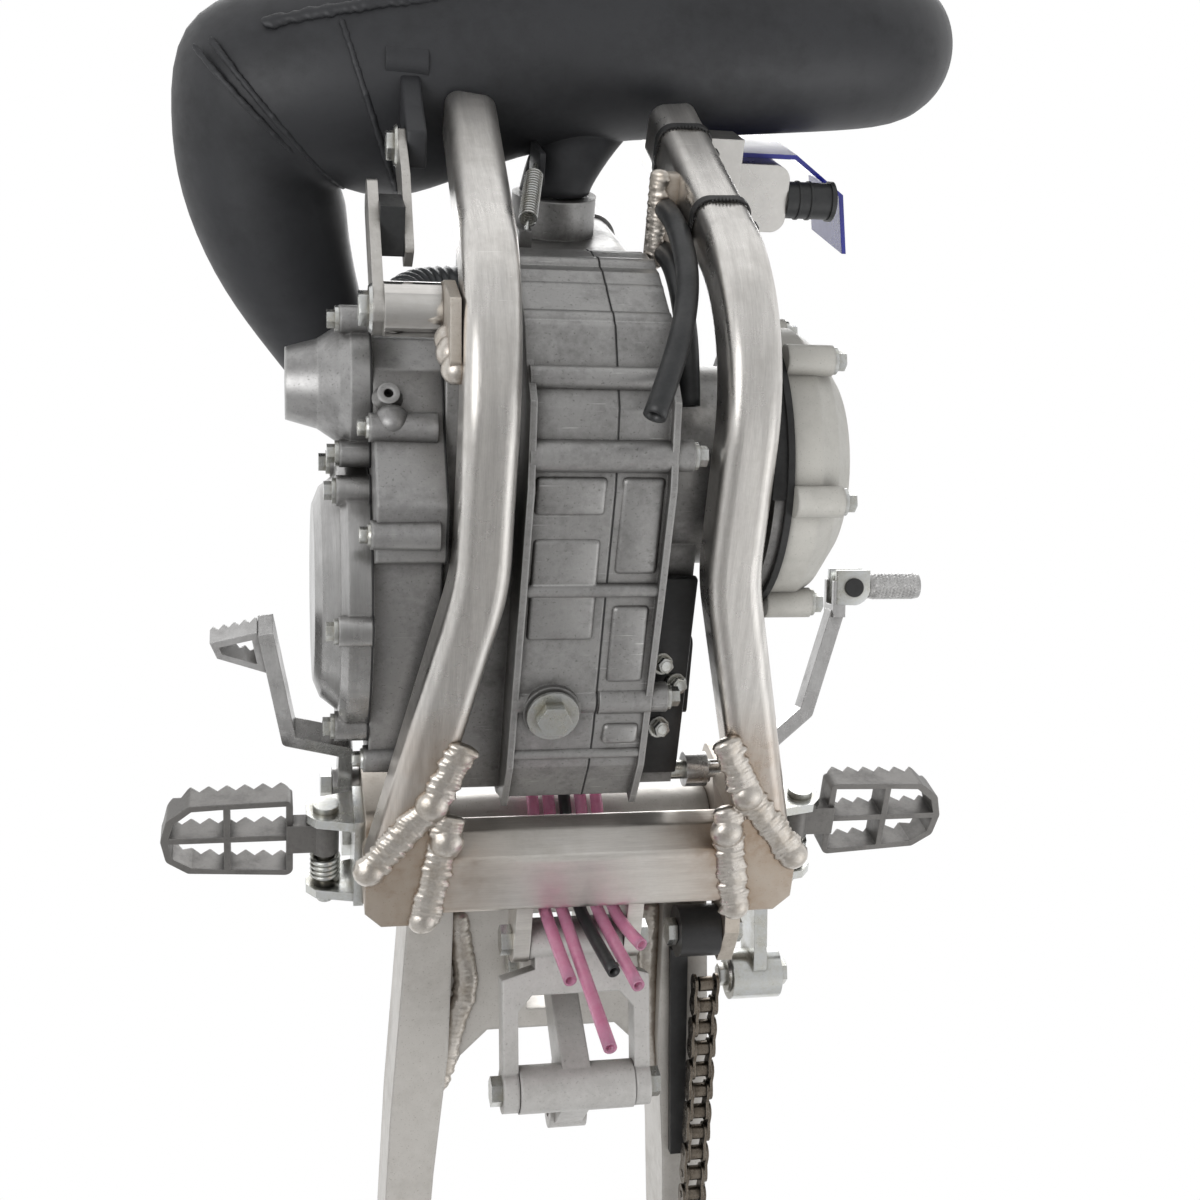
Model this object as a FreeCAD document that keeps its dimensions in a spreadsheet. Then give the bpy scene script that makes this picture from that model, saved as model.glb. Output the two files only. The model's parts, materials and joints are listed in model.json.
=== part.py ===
import FreeCAD, Part
import Sketcher
import math
import os
import re

# Cradle frame of an off-road motorcycle with its engine, exhaust, foot controls and rear arm.
# Millimetres. +X is the rider's left, +Y the rear, +Z up. The origin is the middle of the cross tube's
# underside, where a lift stand carries the frame.

V = FreeCAD.Vector
os.makedirs("parts", exist_ok=True)
doc = FreeCAD.newDocument("CradleFrame")
sheet = doc.addObject("Spreadsheet::Sheet", "Dims")

# Driving dimensions
SIZES = {
    # Cradle rails: a rounded box tube, narrow at the waist, spread at the rear, rising at the front
    "rail_wide": 32, "rail_tall": 36, "rail_corner": 9, "rail_wall": 3.5,
    "rail_waist": 72, "rail_spread": 118, "rail_crown": 64,
    "rail_end_y": 5, "rail_bend_y": -190, "rail_rise_y": -345, "rail_top_y": -402, "rail_top_z": 232,
    "rail_bend": 160, "rail_rise": 95,
    # Cross tube with a sloping front under edge
    "cross_front": -21, "cross_rear": 28, "cross_wall": 4, "cross_corner": 5,
    "cross_slope_y": 10, "cross_slope_z": 18,
    # Corner castings and pivot plates
    "corner_in_x": 84, "corner_in_y": -42, "corner_tip_x": 95, "corner_tip_y": -52,
    "corner_out_x": 133, "corner_out_y": -3, "corner_rear": 34, "corner_chamfer": 10, "corner_foot_x": 99,
    "plate_in": 102, "plate_out": 131, "plate_top": 130, "plate_front": -20, "plate_rear": 62,
    "plate_round": 9,
    # Weld beads
    "bead_radius": 6, "bead_prep": 8, "prep_deep": 0.8,
    # Running fits and side play
    "fit": 0.05, "play": 0.5,
    # Swingarm pivot, linkage pivots and their bolts
    "pivot_y": 33, "pivot_z": 103, "pivot_bolt": 10, "arm_droop": 12, "arm_tube": 23,
    "link_y": 62, "link_z": 18, "link_run": 84, "link_drop": 43, "link_bolt": 6,
    "lug_in": 30, "lug_thick": 10, "lug_round": 14,
    "link_eye": 14, "link_plate_in": 37, "link_plate": 10, "link_tall": 16,
    "relay_half": 17, "relay_eye": 15, "relay_web": 18, "shock_run": 36, "shock_rise": 20, "shock_bore": 5,
    # Swingarm
    "arm_in": 70, "arm_wide": 27, "arm_long": 600, "arm_flare": 22, "arm_tall": 58, "arm_tail_tall": 38,
    "bridge_front": 20, "bridge_rear": 142, "bridge_tall": 32, "axle_slot": 11, "axle_y": 570,
    "slot_long": 40,
    # Chain
    "chain_pitch": 15.875, "chain_x": 98, "chain_drop": 46, "chain_start": 100, "chain_links": 20,
    "chain_wide": 17, "chain_plate": 2, "chain_tall": 14, "chain_roller_radius": 5,
    # Chain roller under the swingarm
    "idler_radius": 17, "idler_wide": 27, "idler_y": 80, "idler_z": 42, "idler_bolt": 5,
    # Footpegs
    "peg_pin_x": 154, "peg_pin_z": 64, "peg_pin": 5, "peg_barrel": 8.5, "peg_root": 174, "peg_tip": 254,
    "peg_front": -19, "peg_back": 36, "peg_mid": 8, "peg_rim": 4, "peg_base": 60, "peg_tall": 22,
    "tooth_pitch": 11, "tooth_deep": 6, "ear_thick": 6, "ear_front": -10, "ear_back": 42,
    "bracket_thick": 6,
    "coil_wire": 3.8, "coil_radius": 9.6,
    # Brake pedal
    "brake_y": -4, "brake_z": 102, "brake_bolt": 6, "brake_boss": 11, "brake_x": 141, "brake_bar": 9,
    "brake_tall": 18, "brake_tilt": 14, "brake_out": 176, "brake_end_x": 190, "brake_long": 136,
    # Shift lever
    "shift_y": -39, "shift_z": 52, "shift_shaft": 6, "shift_boss": 11, "shift_tilt": 20, "shift_bar": 9,
    "shift_tall": 12, "shift_pin_x": 176, "shift_pin_y": 116, "shift_pin": 3.5, "shift_grip": 8,
    "shift_end": 222,
    # Engine
    "case_left": 34, "case_right": 50, "belly_z": 18, "case_top": 196, "cover_face": 90, "clutch_face": 130,
    "crank_y": -226, "crank_z": 102, "mag_radius": 84, "mag_face": 104, "mag_out": 147, "gasket": 4,
    "clutch_y": -140, "clutch_z": 105, "clutch_radius": 84, "clutch_deep": 32,
    "pump_y": -268, "pump_z": 118, "pump_radius": 40, "boss_radius": 9,
    "cylinder_half": 50, "cylinder_front": -325, "cylinder_back": -215, "cylinder_tall": 126,
    "head_tall": 30,
    "port_z": 275, "port_radius": 28, "carb_z": 262, "drain_x": -26, "drain_y": -104, "bolt_head": 6,
    # Exhaust
    "pipe_wall": 2, "pipe_y": -446, "pipe_z": 304, "pipe_radius": 63,
    "mount_y": -326, "mount_z": 76, "spacer_radius": 15,
    # Radiator and shroud
    "core_in": 92, "core_out": 150, "core_front": -382, "core_back": -338, "core_low": 240,
    "core_tall": 190,
    "shroud_thick": 3, "shroud_low": 262, "shroud_tall": 70,
    # Hoses
    "hose_radius": 4, "breather_radius": 6.5,
}
for row, (alias, value) in enumerate(SIZES.items(), start=1):
    sheet.set(f"A{row}", str(value))
    sheet.setAlias(f"A{row}", alias)
doc.recompute()

parts = {}
TURNS = {
    "x": FreeCAD.Rotation(V(0, 1, 0), 90),
    "y": FreeCAD.Rotation(V(1, 0, 0), -90),
    "z": FreeCAD.Rotation(),
}


def size(alias):
    return float(sheet.get(alias))


def named(text):
    return re.sub(r"[a-z_][a-z_0-9]*", lambda m: "Dims." + m[0] if m[0] in SIZES else m[0], str(text))


def link(thing, prop, text):
    thing.setExpression(prop, named(text))


def put(thing, at):
    for axis, text in zip("xyz", at):
        link(thing, "Placement.Base." + axis, text)
    return thing


def rod(name, radius, length, at, axis="x"):
    thing = doc.addObject("Part::Cylinder", name)
    link(thing, "Radius", radius)
    link(thing, "Height", length)
    thing.Placement = FreeCAD.Placement(V(), TURNS[axis])
    return put(thing, at)


def taper(name, start, end, length, at, axis="x"):
    thing = doc.addObject("Part::Cone", name)
    link(thing, "Radius1", start)
    link(thing, "Radius2", end)
    link(thing, "Height", length)
    thing.Placement = FreeCAD.Placement(V(), TURNS[axis])
    return put(thing, at)


def hexagon(name, radius, length, at, axis="x"):
    thing = doc.addObject("Part::Prism", name)
    thing.Polygon = 6
    link(thing, "Circumradius", radius)
    link(thing, "Height", length)
    thing.Placement = FreeCAD.Placement(V(), TURNS[axis])
    return put(thing, at)


def block(name, lengths, at):
    thing = doc.addObject("Part::Box", name)
    for prop, text in zip(("Length", "Width", "Height"), lengths):
        link(thing, prop, text)
    return put(thing, at)


def join(name, *things):
    thing = doc.addObject("Part::MultiFuse", name)
    thing.Shapes = list(things)
    return thing


def group(name, *things):
    thing = doc.addObject("Part::Compound", name)
    thing.Links = list(things)
    return thing


def remove(name, base, *tools):
    thing = doc.addObject("Part::Cut", name)
    thing.Base = base
    thing.Tool = tools[0] if len(tools) == 1 else join(name + "_tools", *tools)
    return thing


def mirrored(name, source):
    thing = doc.addObject("Part::Mirroring", name)
    thing.Source = source
    thing.Normal = V(1, 0, 0)
    return thing


def keep(node, thing):
    thing.Label = node
    parts[node] = thing
    return thing


def feature(name, shape):
    thing = doc.addObject("Part::Feature", name)
    thing.Shape = shape
    return thing


def draw(sketch, outline, closed=True):
    first = sketch.GeometryCount
    count = len(outline)
    sides = count if closed else count - 1
    for i in range(sides):
        a = 2 * math.pi * i / count
        b = 2 * math.pi * (i + 1) / count
        side = Part.LineSegment(V(math.cos(a), math.sin(a), 0), V(math.cos(b), math.sin(b), 0))
        sketch.addGeometry(side, False)
    for i in range(sides if closed else sides - 1):
        sketch.addConstraint(Sketcher.Constraint("Coincident", first + i, 2, first + (i + 1) % count, 1))
    for i, point in enumerate(outline):
        side, end = (first + i, 1) if i < sides else (first + i - 1, 2)
        for kind, text in zip(("DistanceX", "DistanceY"), point):
            row = sketch.addConstraint(Sketcher.Constraint(kind, -1, 1, side, end, 1.0))
            link(sketch, f"Constraints[{row}]", text)


def draw_circle(sketch, centre, radius):
    ring = sketch.addGeometry(Part.Circle(V(1, 1, 0), V(0, 0, 1), 1), False)
    for kind, text in zip(("DistanceX", "DistanceY"), centre):
        row = sketch.addConstraint(Sketcher.Constraint(kind, -1, 1, ring, 3, 1.0))
        link(sketch, f"Constraints[{row}]", text)
    row = sketch.addConstraint(Sketcher.Constraint("Radius", ring, 1.0))
    link(sketch, f"Constraints[{row}]", radius)


def sketch_on(body, plane, start="0"):
    sketch = body.newObject("Sketcher::SketchObject", body.Name + "_sketch")
    flat = [f for f in body.Origin.OriginFeatures if f.Role == plane + "_Plane"][0]
    sketch.AttachmentSupport = [(flat, "")]
    sketch.MapMode = "FlatFace"
    link(sketch, "AttachmentOffset.Base.z", start)
    return sketch


def plate(name, plane, outline, depth, start="0", corner=None, windows=(), holes=()):
    body = doc.addObject("PartDesign::Body", name)
    sketch = sketch_on(body, plane, start)
    draw(sketch, outline)
    for window in windows:
        draw(sketch, window)
    for centre, radius in holes:
        draw_circle(sketch, centre, radius)
    pad = body.newObject("PartDesign::Pad", name + "_pad")
    pad.Profile = sketch
    link(pad, "Length", depth)
    doc.recompute()
    if corner:
        along = {"XY": V(0, 0, 1), "XZ": V(0, 1, 0), "YZ": V(1, 0, 0)}[plane]
        rims = [f.OuterWire for f in pad.Shape.Faces if abs(f.normalAt(0, 0) * along) > 0.99]
        edges = []
        for i, edge in enumerate(pad.Shape.Edges, start=1):
            if edge.Curve.TypeId != "Part::GeomLine" or abs(edge.Curve.Direction * along) < 0.99:
                continue
            if any(rim.distToShape(Part.Vertex(edge.Vertexes[0].Point))[0] < 1e-6 for rim in rims):
                edges.append(f"Edge{i}")
        fillet = body.newObject("PartDesign::Fillet", name + "_round")
        fillet.Base = (pad, edges)
        link(fillet, "Radius", corner)
        doc.recompute()
    return body


def turned(name, outline, centre, axis="x"):
    body = doc.addObject("PartDesign::Body", name)
    sketch = sketch_on(body, "XY")
    draw(sketch, outline)
    spin = body.newObject("PartDesign::Revolution", name + "_turn")
    spin.Profile = sketch
    spin.ReferenceAxis = (sketch, ["H_Axis"])
    spin.Angle = 360
    if axis == "y":
        body.Placement = FreeCAD.Placement(V(), FreeCAD.Rotation(V(0, 0, 1), 90))
    return put(body, centre)


def bar(name, route, plane, section, start):
    body = doc.addObject("PartDesign::Body", name)
    spine = sketch_on(body, "XY")
    draw(spine, route, closed=False)
    face = sketch_on(body, plane, start)
    draw(face, section)
    pipe = body.newObject("PartDesign::AdditivePipe", name + "_pipe")
    pipe.Profile = face
    pipe.Spine = (spine, [])
    pipe.Transition = "Round corner"
    return body


def tilted(thing, angle, at):
    thing.Placement = FreeCAD.Placement(V(), FreeCAD.Rotation(V(1, 0, 0), size(angle.lstrip("-"))))
    link(thing, "Placement.Rotation.Angle", ("-" if angle[0] == "-" else "") + angle.lstrip("-"))
    return put(thing, at)


def route_wire(points, radii):
    edges = []
    last = points[0]
    for before, corner, after, radius in zip(points, points[1:], points[2:], radii):
        back = (before - corner).normalize()
        ahead = (after - corner).normalize()
        turn = math.pi - back.getAngle(ahead)
        reach = radius * math.tan(turn / 2)
        into = corner + back * reach
        out = corner + ahead * reach
        inward = (back + ahead).normalize()
        middle = corner + inward * (radius / math.cos(turn / 2) - radius)
        edges.append(Part.LineSegment(last, into).toShape())
        edges.append(Part.Arc(into, middle, out).toShape())
        last = out
    edges.append(Part.LineSegment(last, points[-1]).toShape())
    return Part.Wire(edges)


def rounded_wire(wide, tall, radius):
    half_w = wide / 2 - radius
    half_t = tall / 2 - radius
    edges = []
    for i, (x, z) in enumerate(((half_w, half_t), (-half_w, half_t), (-half_w, -half_t),
                                (half_w, -half_t))):
        middle = math.radians(45 + 90 * i)
        ends = [V(x, 0, z) + V(math.cos(a), 0, math.sin(a)) * radius
                for a in (middle - math.pi / 4, middle, middle + math.pi / 4)]
        edges.append(Part.Arc(*ends).toShape())
    sides = [Part.LineSegment(edges[i].lastVertex().Point, edges[(i + 1) % 4].firstVertex().Point).toShape()
             for i in range(4)]
    return Part.Wire([e for pair in zip(edges, sides) for e in pair])


def swept(wire, profile):
    shell = Part.BRepOffsetAPI.MakePipeShell(wire)
    shell.setBiNormalMode(V(1, 0, 0))
    shell.add(profile)
    shell.build()
    shell.makeSolid()
    return shell.shape()


# Rails: a rounded box tube bent along the cradle
def rail_route(side):
    level = size("rail_tall") / 2
    return [
        V(side * size("rail_spread"), size("rail_end_y"), level),
        V(side * size("rail_waist"), size("rail_bend_y"), level),
        V(side * size("rail_waist"), size("rail_rise_y"), level),
        V(side * size("rail_crown"), size("rail_top_y"), size("rail_top_z")),
    ]


def rail(side, inset):
    route = rail_route(side)
    wire = route_wire(route, (size("rail_bend"), size("rail_rise")))
    profile = rounded_wire(size("rail_wide") - 2 * inset, size("rail_tall") - 2 * inset,
                           size("rail_corner") - inset)
    ahead = (route[1] - route[0]).normalize()
    profile.Placement = FreeCAD.Placement(route[0], FreeCAD.Rotation(V(0, -1, 0), ahead))
    return swept(wire, profile)


corner_outline = [
    ("corner_in_x", "corner_in_y"), ("corner_tip_x", "corner_tip_y"), ("corner_out_x", "corner_out_y"),
    ("corner_out_x", "corner_rear - corner_chamfer"), ("corner_out_x - corner_chamfer", "corner_rear"),
    ("corner_foot_x", "corner_rear"),
]
corner = plate("corner", "XY", corner_outline, "rail_tall")
far_corner = mirrored("far_corner", corner)
for side, label, foot in ((1, "left", corner), (-1, "right", far_corner)):
    tube = feature(label + "_tube", rail(side, 0).cut(rail(side, size("rail_wall"))))
    keep(label + "_rail", remove(label + "_rail_cut", tube, foot))

# Cross tube between the corner castings
cross_outline = [
    ("cross_front", "rail_tall"), ("cross_front", "cross_slope_z"), ("cross_front + cross_slope_y", "0"),
    ("cross_rear", "0"), ("cross_rear", "rail_tall"),
]
cross_bore = [
    ("cross_front + cross_wall", "rail_tall - cross_wall"),
    ("cross_front + cross_wall", "cross_slope_z + 1.2"),
    ("cross_front + cross_slope_y + 2", "cross_wall"),
    ("cross_rear - cross_wall", "cross_wall"), ("cross_rear - cross_wall", "rail_tall - cross_wall"),
]
cross_bar = plate("cross_bar", "YZ", cross_outline, "2 * corner_foot_x", "-corner_foot_x", "cross_corner",
                  windows=[cross_bore])
prep_outline = [
    ("corner_in_x - bead_prep", "corner_in_y"), ("corner_in_x + bead_prep", "corner_in_y"),
    ("corner_foot_x + bead_prep", "corner_rear"), ("corner_foot_x - bead_prep", "corner_rear"),
]
prep = plate("weld_prep", "XY", prep_outline, "prep_deep + 1", "-1")
keep("cross_tube", remove("cross_tube_cut", cross_bar, corner, far_corner, prep,
                          mirrored("far_prep", prep)))

# Pivot plates that rise from the corner castings
upright_outline = [
    ("plate_front", "rail_tall"), ("44", "rail_tall"), ("plate_rear", "rail_tall + 34"),
    ("plate_rear", "plate_top - 12"), ("plate_rear - 12", "plate_top"), ("14", "plate_top"),
    ("plate_front", "plate_top - 12"),
]
upright = plate("upright", "YZ", upright_outline, "plate_out - plate_in", "plate_in", "plate_round",
                holes=[(("pivot_y", "pivot_z"), "pivot_bolt"), (("brake_y", "brake_z"), "brake_bolt")])
idler_lug = plate("idler_lug", "YZ", [("24", "rail_tall"), ("70", "24"), ("98", "32"), ("98", "52"),
                                      ("60", "62"),
                                      ("40", "68")], "10", "plate_in",
                  holes=[(("idler_y", "idler_z"), "idler_bolt")])
right_plate = join("plate_base", corner, upright)
keep("left_pivot_plate", join("left_plate", corner, upright, idler_lug))
keep("right_pivot_plate", mirrored("right_plate", right_plate))

# Weld beads around the corner castings
bead_routes = [
    [("corner_tip_x - 17", "corner_tip_y - 38"), ("corner_tip_x", "corner_tip_y"),
     ("corner_out_x", "corner_out_y")],
    [("corner_in_x", "corner_in_y"), ("corner_foot_x", "corner_rear")],
]
beads = []
for route in bead_routes:
    for here, there in zip(route, route[1:]):
        lump = doc.addObject("Part::Cylinder", "bead")
        link(lump, "Radius", "bead_radius")
        link(lump, "Height", f"sqrt(({there[0]} - ({here[0]}))^2 + ({there[1]} - ({here[1]}))^2)")
        heading = f"atan2({there[1]} - ({here[1]}); {there[0]} - ({here[0]}))"
        spot = doc.addObject("Part::Sphere", "bead_end")
        link(spot, "Radius", "bead_radius")
        put(spot, (there[0], there[1], "1"))
        put(lump, (here[0], here[1], "1"))
        link(lump, "Placement.Rotation", f"rotation(vector(0; 0; 1); {heading}) * rotation(vector(0; 1; 0); 90)")
        beads += [lump, spot]
bead_side = join("bead_side", *beads)
bead_both = group("bead_both", bead_side, mirrored("bead_far", bead_side))
keep("weld_beads", remove("weld_beads_cut", bead_both, parts["left_rail"], parts["right_rail"],
                          parts["cross_tube"],
                          corner, far_corner))

# Linkage bracket: two lugs on the cross tube's rear face
lug = join("lug_block", block("lug_root", ("lug_thick", "link_y - cross_rear", "28"),
                              ("lug_in", "cross_rear", "4")),
           rod("lug_eye", "lug_round", "lug_thick", ("lug_in", "link_y", "link_z")))
lug = remove("lug", lug, rod("lug_bore", "link_bolt + fit", "lug_thick", ("lug_in", "link_y", "link_z")))
keep("linkage_bracket", group("lugs", lug, mirrored("far_lug", lug)))


# A through bolt with a hexagon at each end, along X
def through_bolt(name, radius, half, head, at):
    shank = rod(name + "_shank", radius, f"2 * ({half})", (f"-({half})", at[0], at[1]))
    left = hexagon(name + "_nut", f"1.6 * ({radius})", head, (half, at[0], at[1]))
    right = hexagon(name + "_head", f"1.6 * ({radius})", head, (f"-({half}) - ({head})", at[0], at[1]))
    return join(name, shank, left, right)


keep("swingarm_bolt", through_bolt("swing_bolt", "pivot_bolt", "plate_out", "11", ("pivot_y", "pivot_z")))
keep("link_front_bolt", through_bolt("front_bolt", "link_bolt", "lug_in + lug_thick", "7",
                                     ("link_y", "link_z")))
rear_at = ("link_y + link_run", "link_z - link_drop")
keep("link_rear_bolt", through_bolt("rear_bolt", "link_bolt", "link_plate_in + link_plate", "7", rear_at))
relay_at = ("pivot_y + link_run", "pivot_z - link_drop")
keep("relay_pivot_bolt", through_bolt("relay_bolt", "link_bolt", "relay_half + play + 9", "7", relay_at))

# Link arm: a front boss, a bridge and two side plates with rear eyes, laid out level and then tilted
link_long = "sqrt(link_run^2 + link_drop^2)"
link_outline = [
    ("-lug_in + 4", "-2"), ("lug_in - 4", "-2"), ("lug_in - 4", "18"), ("link_plate_in + link_plate", "24"),
    ("link_plate_in + link_plate", link_long), ("link_plate_in", link_long), ("link_plate_in", "44"),
    ("link_plate_in - 9", "34"), ("-link_plate_in + 9", "34"), ("-link_plate_in", "44"),
    ("-link_plate_in", link_long),
    ("-link_plate_in - link_plate", link_long), ("-link_plate_in - link_plate", "24"),
    ("-lug_in + 4", "18"),
]
link_web = plate("link_web", "XY", link_outline, "link_tall", "-link_tall / 2")
link_eyes = [rod("link_eye_left", "link_eye", "link_plate", ("link_plate_in", link_long, "0")),
             rod("link_eye_right", "link_eye", "link_plate",
                 ("-link_plate_in - link_plate", link_long, "0"))]
link_boss = rod("link_boss", "link_eye - 1", "2 * (lug_in - play)", ("-lug_in + play", "0", "0"))
link_solid = join("link_solid", link_web, link_boss, *link_eyes)
link_arm = remove("link_arm_cut", link_solid,
                  rod("link_front_bore", "link_bolt + fit", "2 * lug_in", ("-lug_in", "0", "0")),
                  rod("link_rear_bore", "link_bolt", "120", ("-60", link_long, "0")))
link_arm.Placement = FreeCAD.Placement(V(), FreeCAD.Rotation(V(1, 0, 0), -27))
link(link_arm, "Placement.Rotation.Angle", "-atan(link_drop / link_run)")
keep("link_arm", put(link_arm, ("0", "link_y", "link_z")))

# Relay arm: a webbed link with three eyes
shock_at = (f"{rear_at[0]} + shock_run", f"{rear_at[1]} + shock_rise")
relay_outline = [
    (f"{relay_at[0]} - 11", relay_at[1]), (f"{relay_at[0]} + 11", f"{relay_at[1]} + 3"),
    (f"{rear_at[0]} + 6", f"{rear_at[1]} + 34"), (shock_at[0], f"{shock_at[1]} + 11"),
    (f"{shock_at[0]} + 9", f"{shock_at[1]} - 7"), (f"{rear_at[0]} + 3", f"{rear_at[1]} - 14"),
    (f"{rear_at[0]} - 14", f"{rear_at[1]} - 4"),
]
relay_web = plate("relay_web_plate", "YZ", relay_outline, "relay_web", "-relay_web / 2")
relay_solid = join("relay_solid", relay_web,
                   rod("relay_top", "13", "2 * relay_half", ("-relay_half",) + relay_at),
                   rod("relay_low", "relay_eye", "2 * (link_plate_in - play)",
                       ("-link_plate_in + play",) + rear_at),
                   rod("relay_shock", "12", "relay_web + 6", ("-relay_web / 2 - 3",) + shock_at))
keep("relay_arm", remove("relay_cut", relay_solid,
                         rod("relay_top_bore", "link_bolt + fit", "60", ("-30",) + relay_at),
                         rod("relay_low_bore", "link_bolt + fit", "100", ("-50",) + rear_at),
                         rod("relay_shock_bore", "shock_bore", "60", ("-30",) + shock_at)))

# Swingarm, laid out level about its pivot and then tilted to its droop
arm_plan = [
    ("arm_in", "-8"), ("arm_in + arm_wide", "-8"), ("arm_in + arm_wide + 0.6 * arm_flare", "200"),
    ("arm_in + arm_wide + arm_flare", "420"), ("arm_in + arm_wide + arm_flare", "arm_long"),
    ("arm_in + arm_flare", "arm_long"), ("arm_in + arm_flare", "440"), ("arm_in + 10", "240"),
    ("arm_in + 2", "150"),
]
arm_side = [
    ("-20", "arm_tall / 2 - 6"), ("60", "arm_tall / 2"), ("260", "arm_tall / 2 - 2"),
    ("arm_long", "arm_tail_tall / 2"), ("arm_long", "-arm_tail_tall / 2"), ("260", "-arm_tall / 2 + 2"),
    ("60", "-arm_tall / 2"), ("-20", "-arm_tall / 2 + 6"),
]
arm = doc.addObject("Part::Common", "arm")
arm.Base = plate("arm_above", "XY", arm_plan, "2 * arm_tall", "-arm_tall")
arm.Tool = plate("arm_beside", "YZ", arm_side, "160", "0", "8")
slot = [block("slot_mid", ("80", "slot_long", "2 * axle_slot"),
              ("70", "axle_y - slot_long / 2", "-axle_slot")),
        rod("slot_front", "axle_slot", "80", ("70", "axle_y - slot_long / 2", "0")),
        rod("slot_back", "axle_slot", "80", ("70", "axle_y + slot_long / 2", "0"))]
arm_slotted = remove("arm_slotted", arm, *slot)
bridge_plan = [
    ("-arm_in - 5", "bridge_front"), ("arm_in + 5", "bridge_front"), ("arm_in + 5", "bridge_rear + 48"),
    ("arm_in - 8", "bridge_rear + 18"), ("arm_in - 26", "bridge_rear"), ("26 - arm_in", "bridge_rear"),
    ("8 - arm_in", "bridge_rear + 18"), ("-arm_in - 5", "bridge_rear + 48"),
]
window = [("-relay_half - play", "58"), ("relay_half + play", "58"), ("relay_half + play", "128"),
          ("-relay_half - play", "128")]
bridge = plate("bridge", "XY", bridge_plan, "bridge_tall", "2 - bridge_tall / 2", windows=[window])
relay_reach = "link_run * cos(arm_droop) + link_drop * sin(arm_droop)"
relay_fall = "link_run * sin(arm_droop) - link_drop * cos(arm_droop)"
ear = join("ear", block("ear_root", ("9", "28", "24"),
                        ("relay_half + play", f"{relay_reach} - 14", f"{relay_fall}")),
           rod("ear_eye", "13", "9", ("relay_half + play", relay_reach, relay_fall)))
swing_solid = join("swing_solid", arm_slotted, mirrored("far_arm", arm_slotted), bridge, ear,
                   mirrored("far_ear", ear),
                   rod("pivot_tube", "arm_tube", "2 * (plate_in - play)", ("-plate_in + play", "0", "0")))
swingarm = remove("swingarm_cut", swing_solid,
                  rod("pivot_bore", "pivot_bolt + fit", "300", ("-150", "0", "0")),
                  rod("relay_bore", "link_bolt", "100", ("-50", relay_reach, relay_fall)))
keep("swingarm", tilted(swingarm, "-arm_droop", ("0", "pivot_y", "pivot_z")))

# Chain slider and chain guide under the left arm, in the swingarm's own layout
slider_plan = [("arm_in + 6", "80"), ("arm_in + 18", "80"), ("arm_in + 24", "235"), ("arm_in + 14", "235")]
slider = remove("slider_cut", plate("slider_strip", "XY", slider_plan, "14", "-arm_tall / 2 - 5"), arm)
keep("chain_slider", tilted(slider, "-arm_droop", ("0", "pivot_y", "pivot_z")))
chain_end = "chain_start + chain_links * chain_pitch"
guide_solid = block("guide_solid", ("chain_wide + 14", "58", "chain_drop - 4"),
                    ("chain_x - chain_wide / 2 - 7", f"{chain_end} - 21.5", "-chain_drop - 17"))
guide_slot = block("guide_slot", ("chain_wide + 1", "80", "chain_tall + 2"),
                   ("chain_x - chain_wide / 2 - 0.5", f"{chain_end} - 31.5",
                    "-chain_drop - chain_tall / 2 - 1"))
guide = remove("guide_cut", guide_solid, guide_slot, arm)
keep("chain_guide", tilted(guide, "-arm_droop", ("0", "pivot_y", "pivot_z")))


# Drive chain: rollers and eight-cornered side plates, one pitch after another
def chain_shape():
    pitch = size("chain_pitch")
    tall = size("chain_tall") / 2
    wide = size("chain_wide") / 2
    thick = size("chain_plate")
    half = pitch / 2
    nose = half + tall * 0.9
    side = [(-nose, -tall * 0.45), (-half, -tall), (half, -tall), (nose, -tall * 0.45), (nose, tall * 0.45),
            (half, tall), (-half, tall), (-nose, tall * 0.45)]
    middle = size("chain_x")
    drop = -size("chain_drop")
    inner = wide - 2 * thick
    solids = []
    for i in range(int(size("chain_links"))):
        y = size("chain_start") + i * pitch
        outer = i % 2 == 0
        for x in ((-wide, wide - thick) if outer else (-wide + thick, wide - 2 * thick)):
            ring = Part.makePolygon([V(middle + x, y + half + a, drop + b) for a, b in side + side[:1]])
            solids.append(Part.Face(ring).extrude(V(thick, 0, 0)))
        for spot in ((y, y + pitch) if outer else ()):
            for radius, reach in ((size("chain_roller_radius"), inner), (2.5, wide + 0.5)):
                solids.append(Part.makeCylinder(radius, 2 * reach, V(middle - reach, spot, drop),
                                                V(1, 0, 0)))
    return solids[0].multiFuse(solids[1:])


chain = feature("chain", chain_shape())
keep("drive_chain", tilted(chain, "-arm_droop", ("0", "pivot_y", "pivot_z")))

# Chain roller on its bolt, beside the left pivot plate
idler_at = ("idler_y", "idler_z")
idler_x = "plate_in - play - idler_wide"
keep("chain_roller", remove("idler", rod("idler_solid", "idler_radius", "idler_wide",
                                         (idler_x,) + idler_at),
                            rod("idler_bore", "idler_bolt + fit", "idler_wide", (idler_x,) + idler_at)))
keep("chain_roller_bolt", join("idler_bolt_solid",
                               rod("idler_shank", "idler_bolt", "idler_wide + 2 * play + 10",
                                   (f"{idler_x} - play",) + idler_at),
                               hexagon("idler_head", "9", "6", (f"{idler_x} - play - 6",) + idler_at),
                               hexagon("idler_nut", "9", "6", ("plate_in + 10",) + idler_at)))

# Stand bracket behind the left pivot plate
stand_outline = [("52", "64"), ("plate_rear", "58"), ("112", "38"), ("134", "44"), ("130", "62"),
                 ("68", "98"),
                 ("52", "102")]
stand_arm = plate("stand_arm", "YZ", stand_outline, "9", "plate_out", "5")
stand_bush = rod("stand_bush", "17", "34", ("118", "126", "52"))
stand_head = hexagon("stand_head", "9", "6", ("152", "126", "52"))
keep("stand_bracket", remove("stand_cut", join("stand_solid", stand_arm, stand_bush, stand_head),
                             rod("stand_bore", "6", "20", ("118", "126", "52"))))

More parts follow.
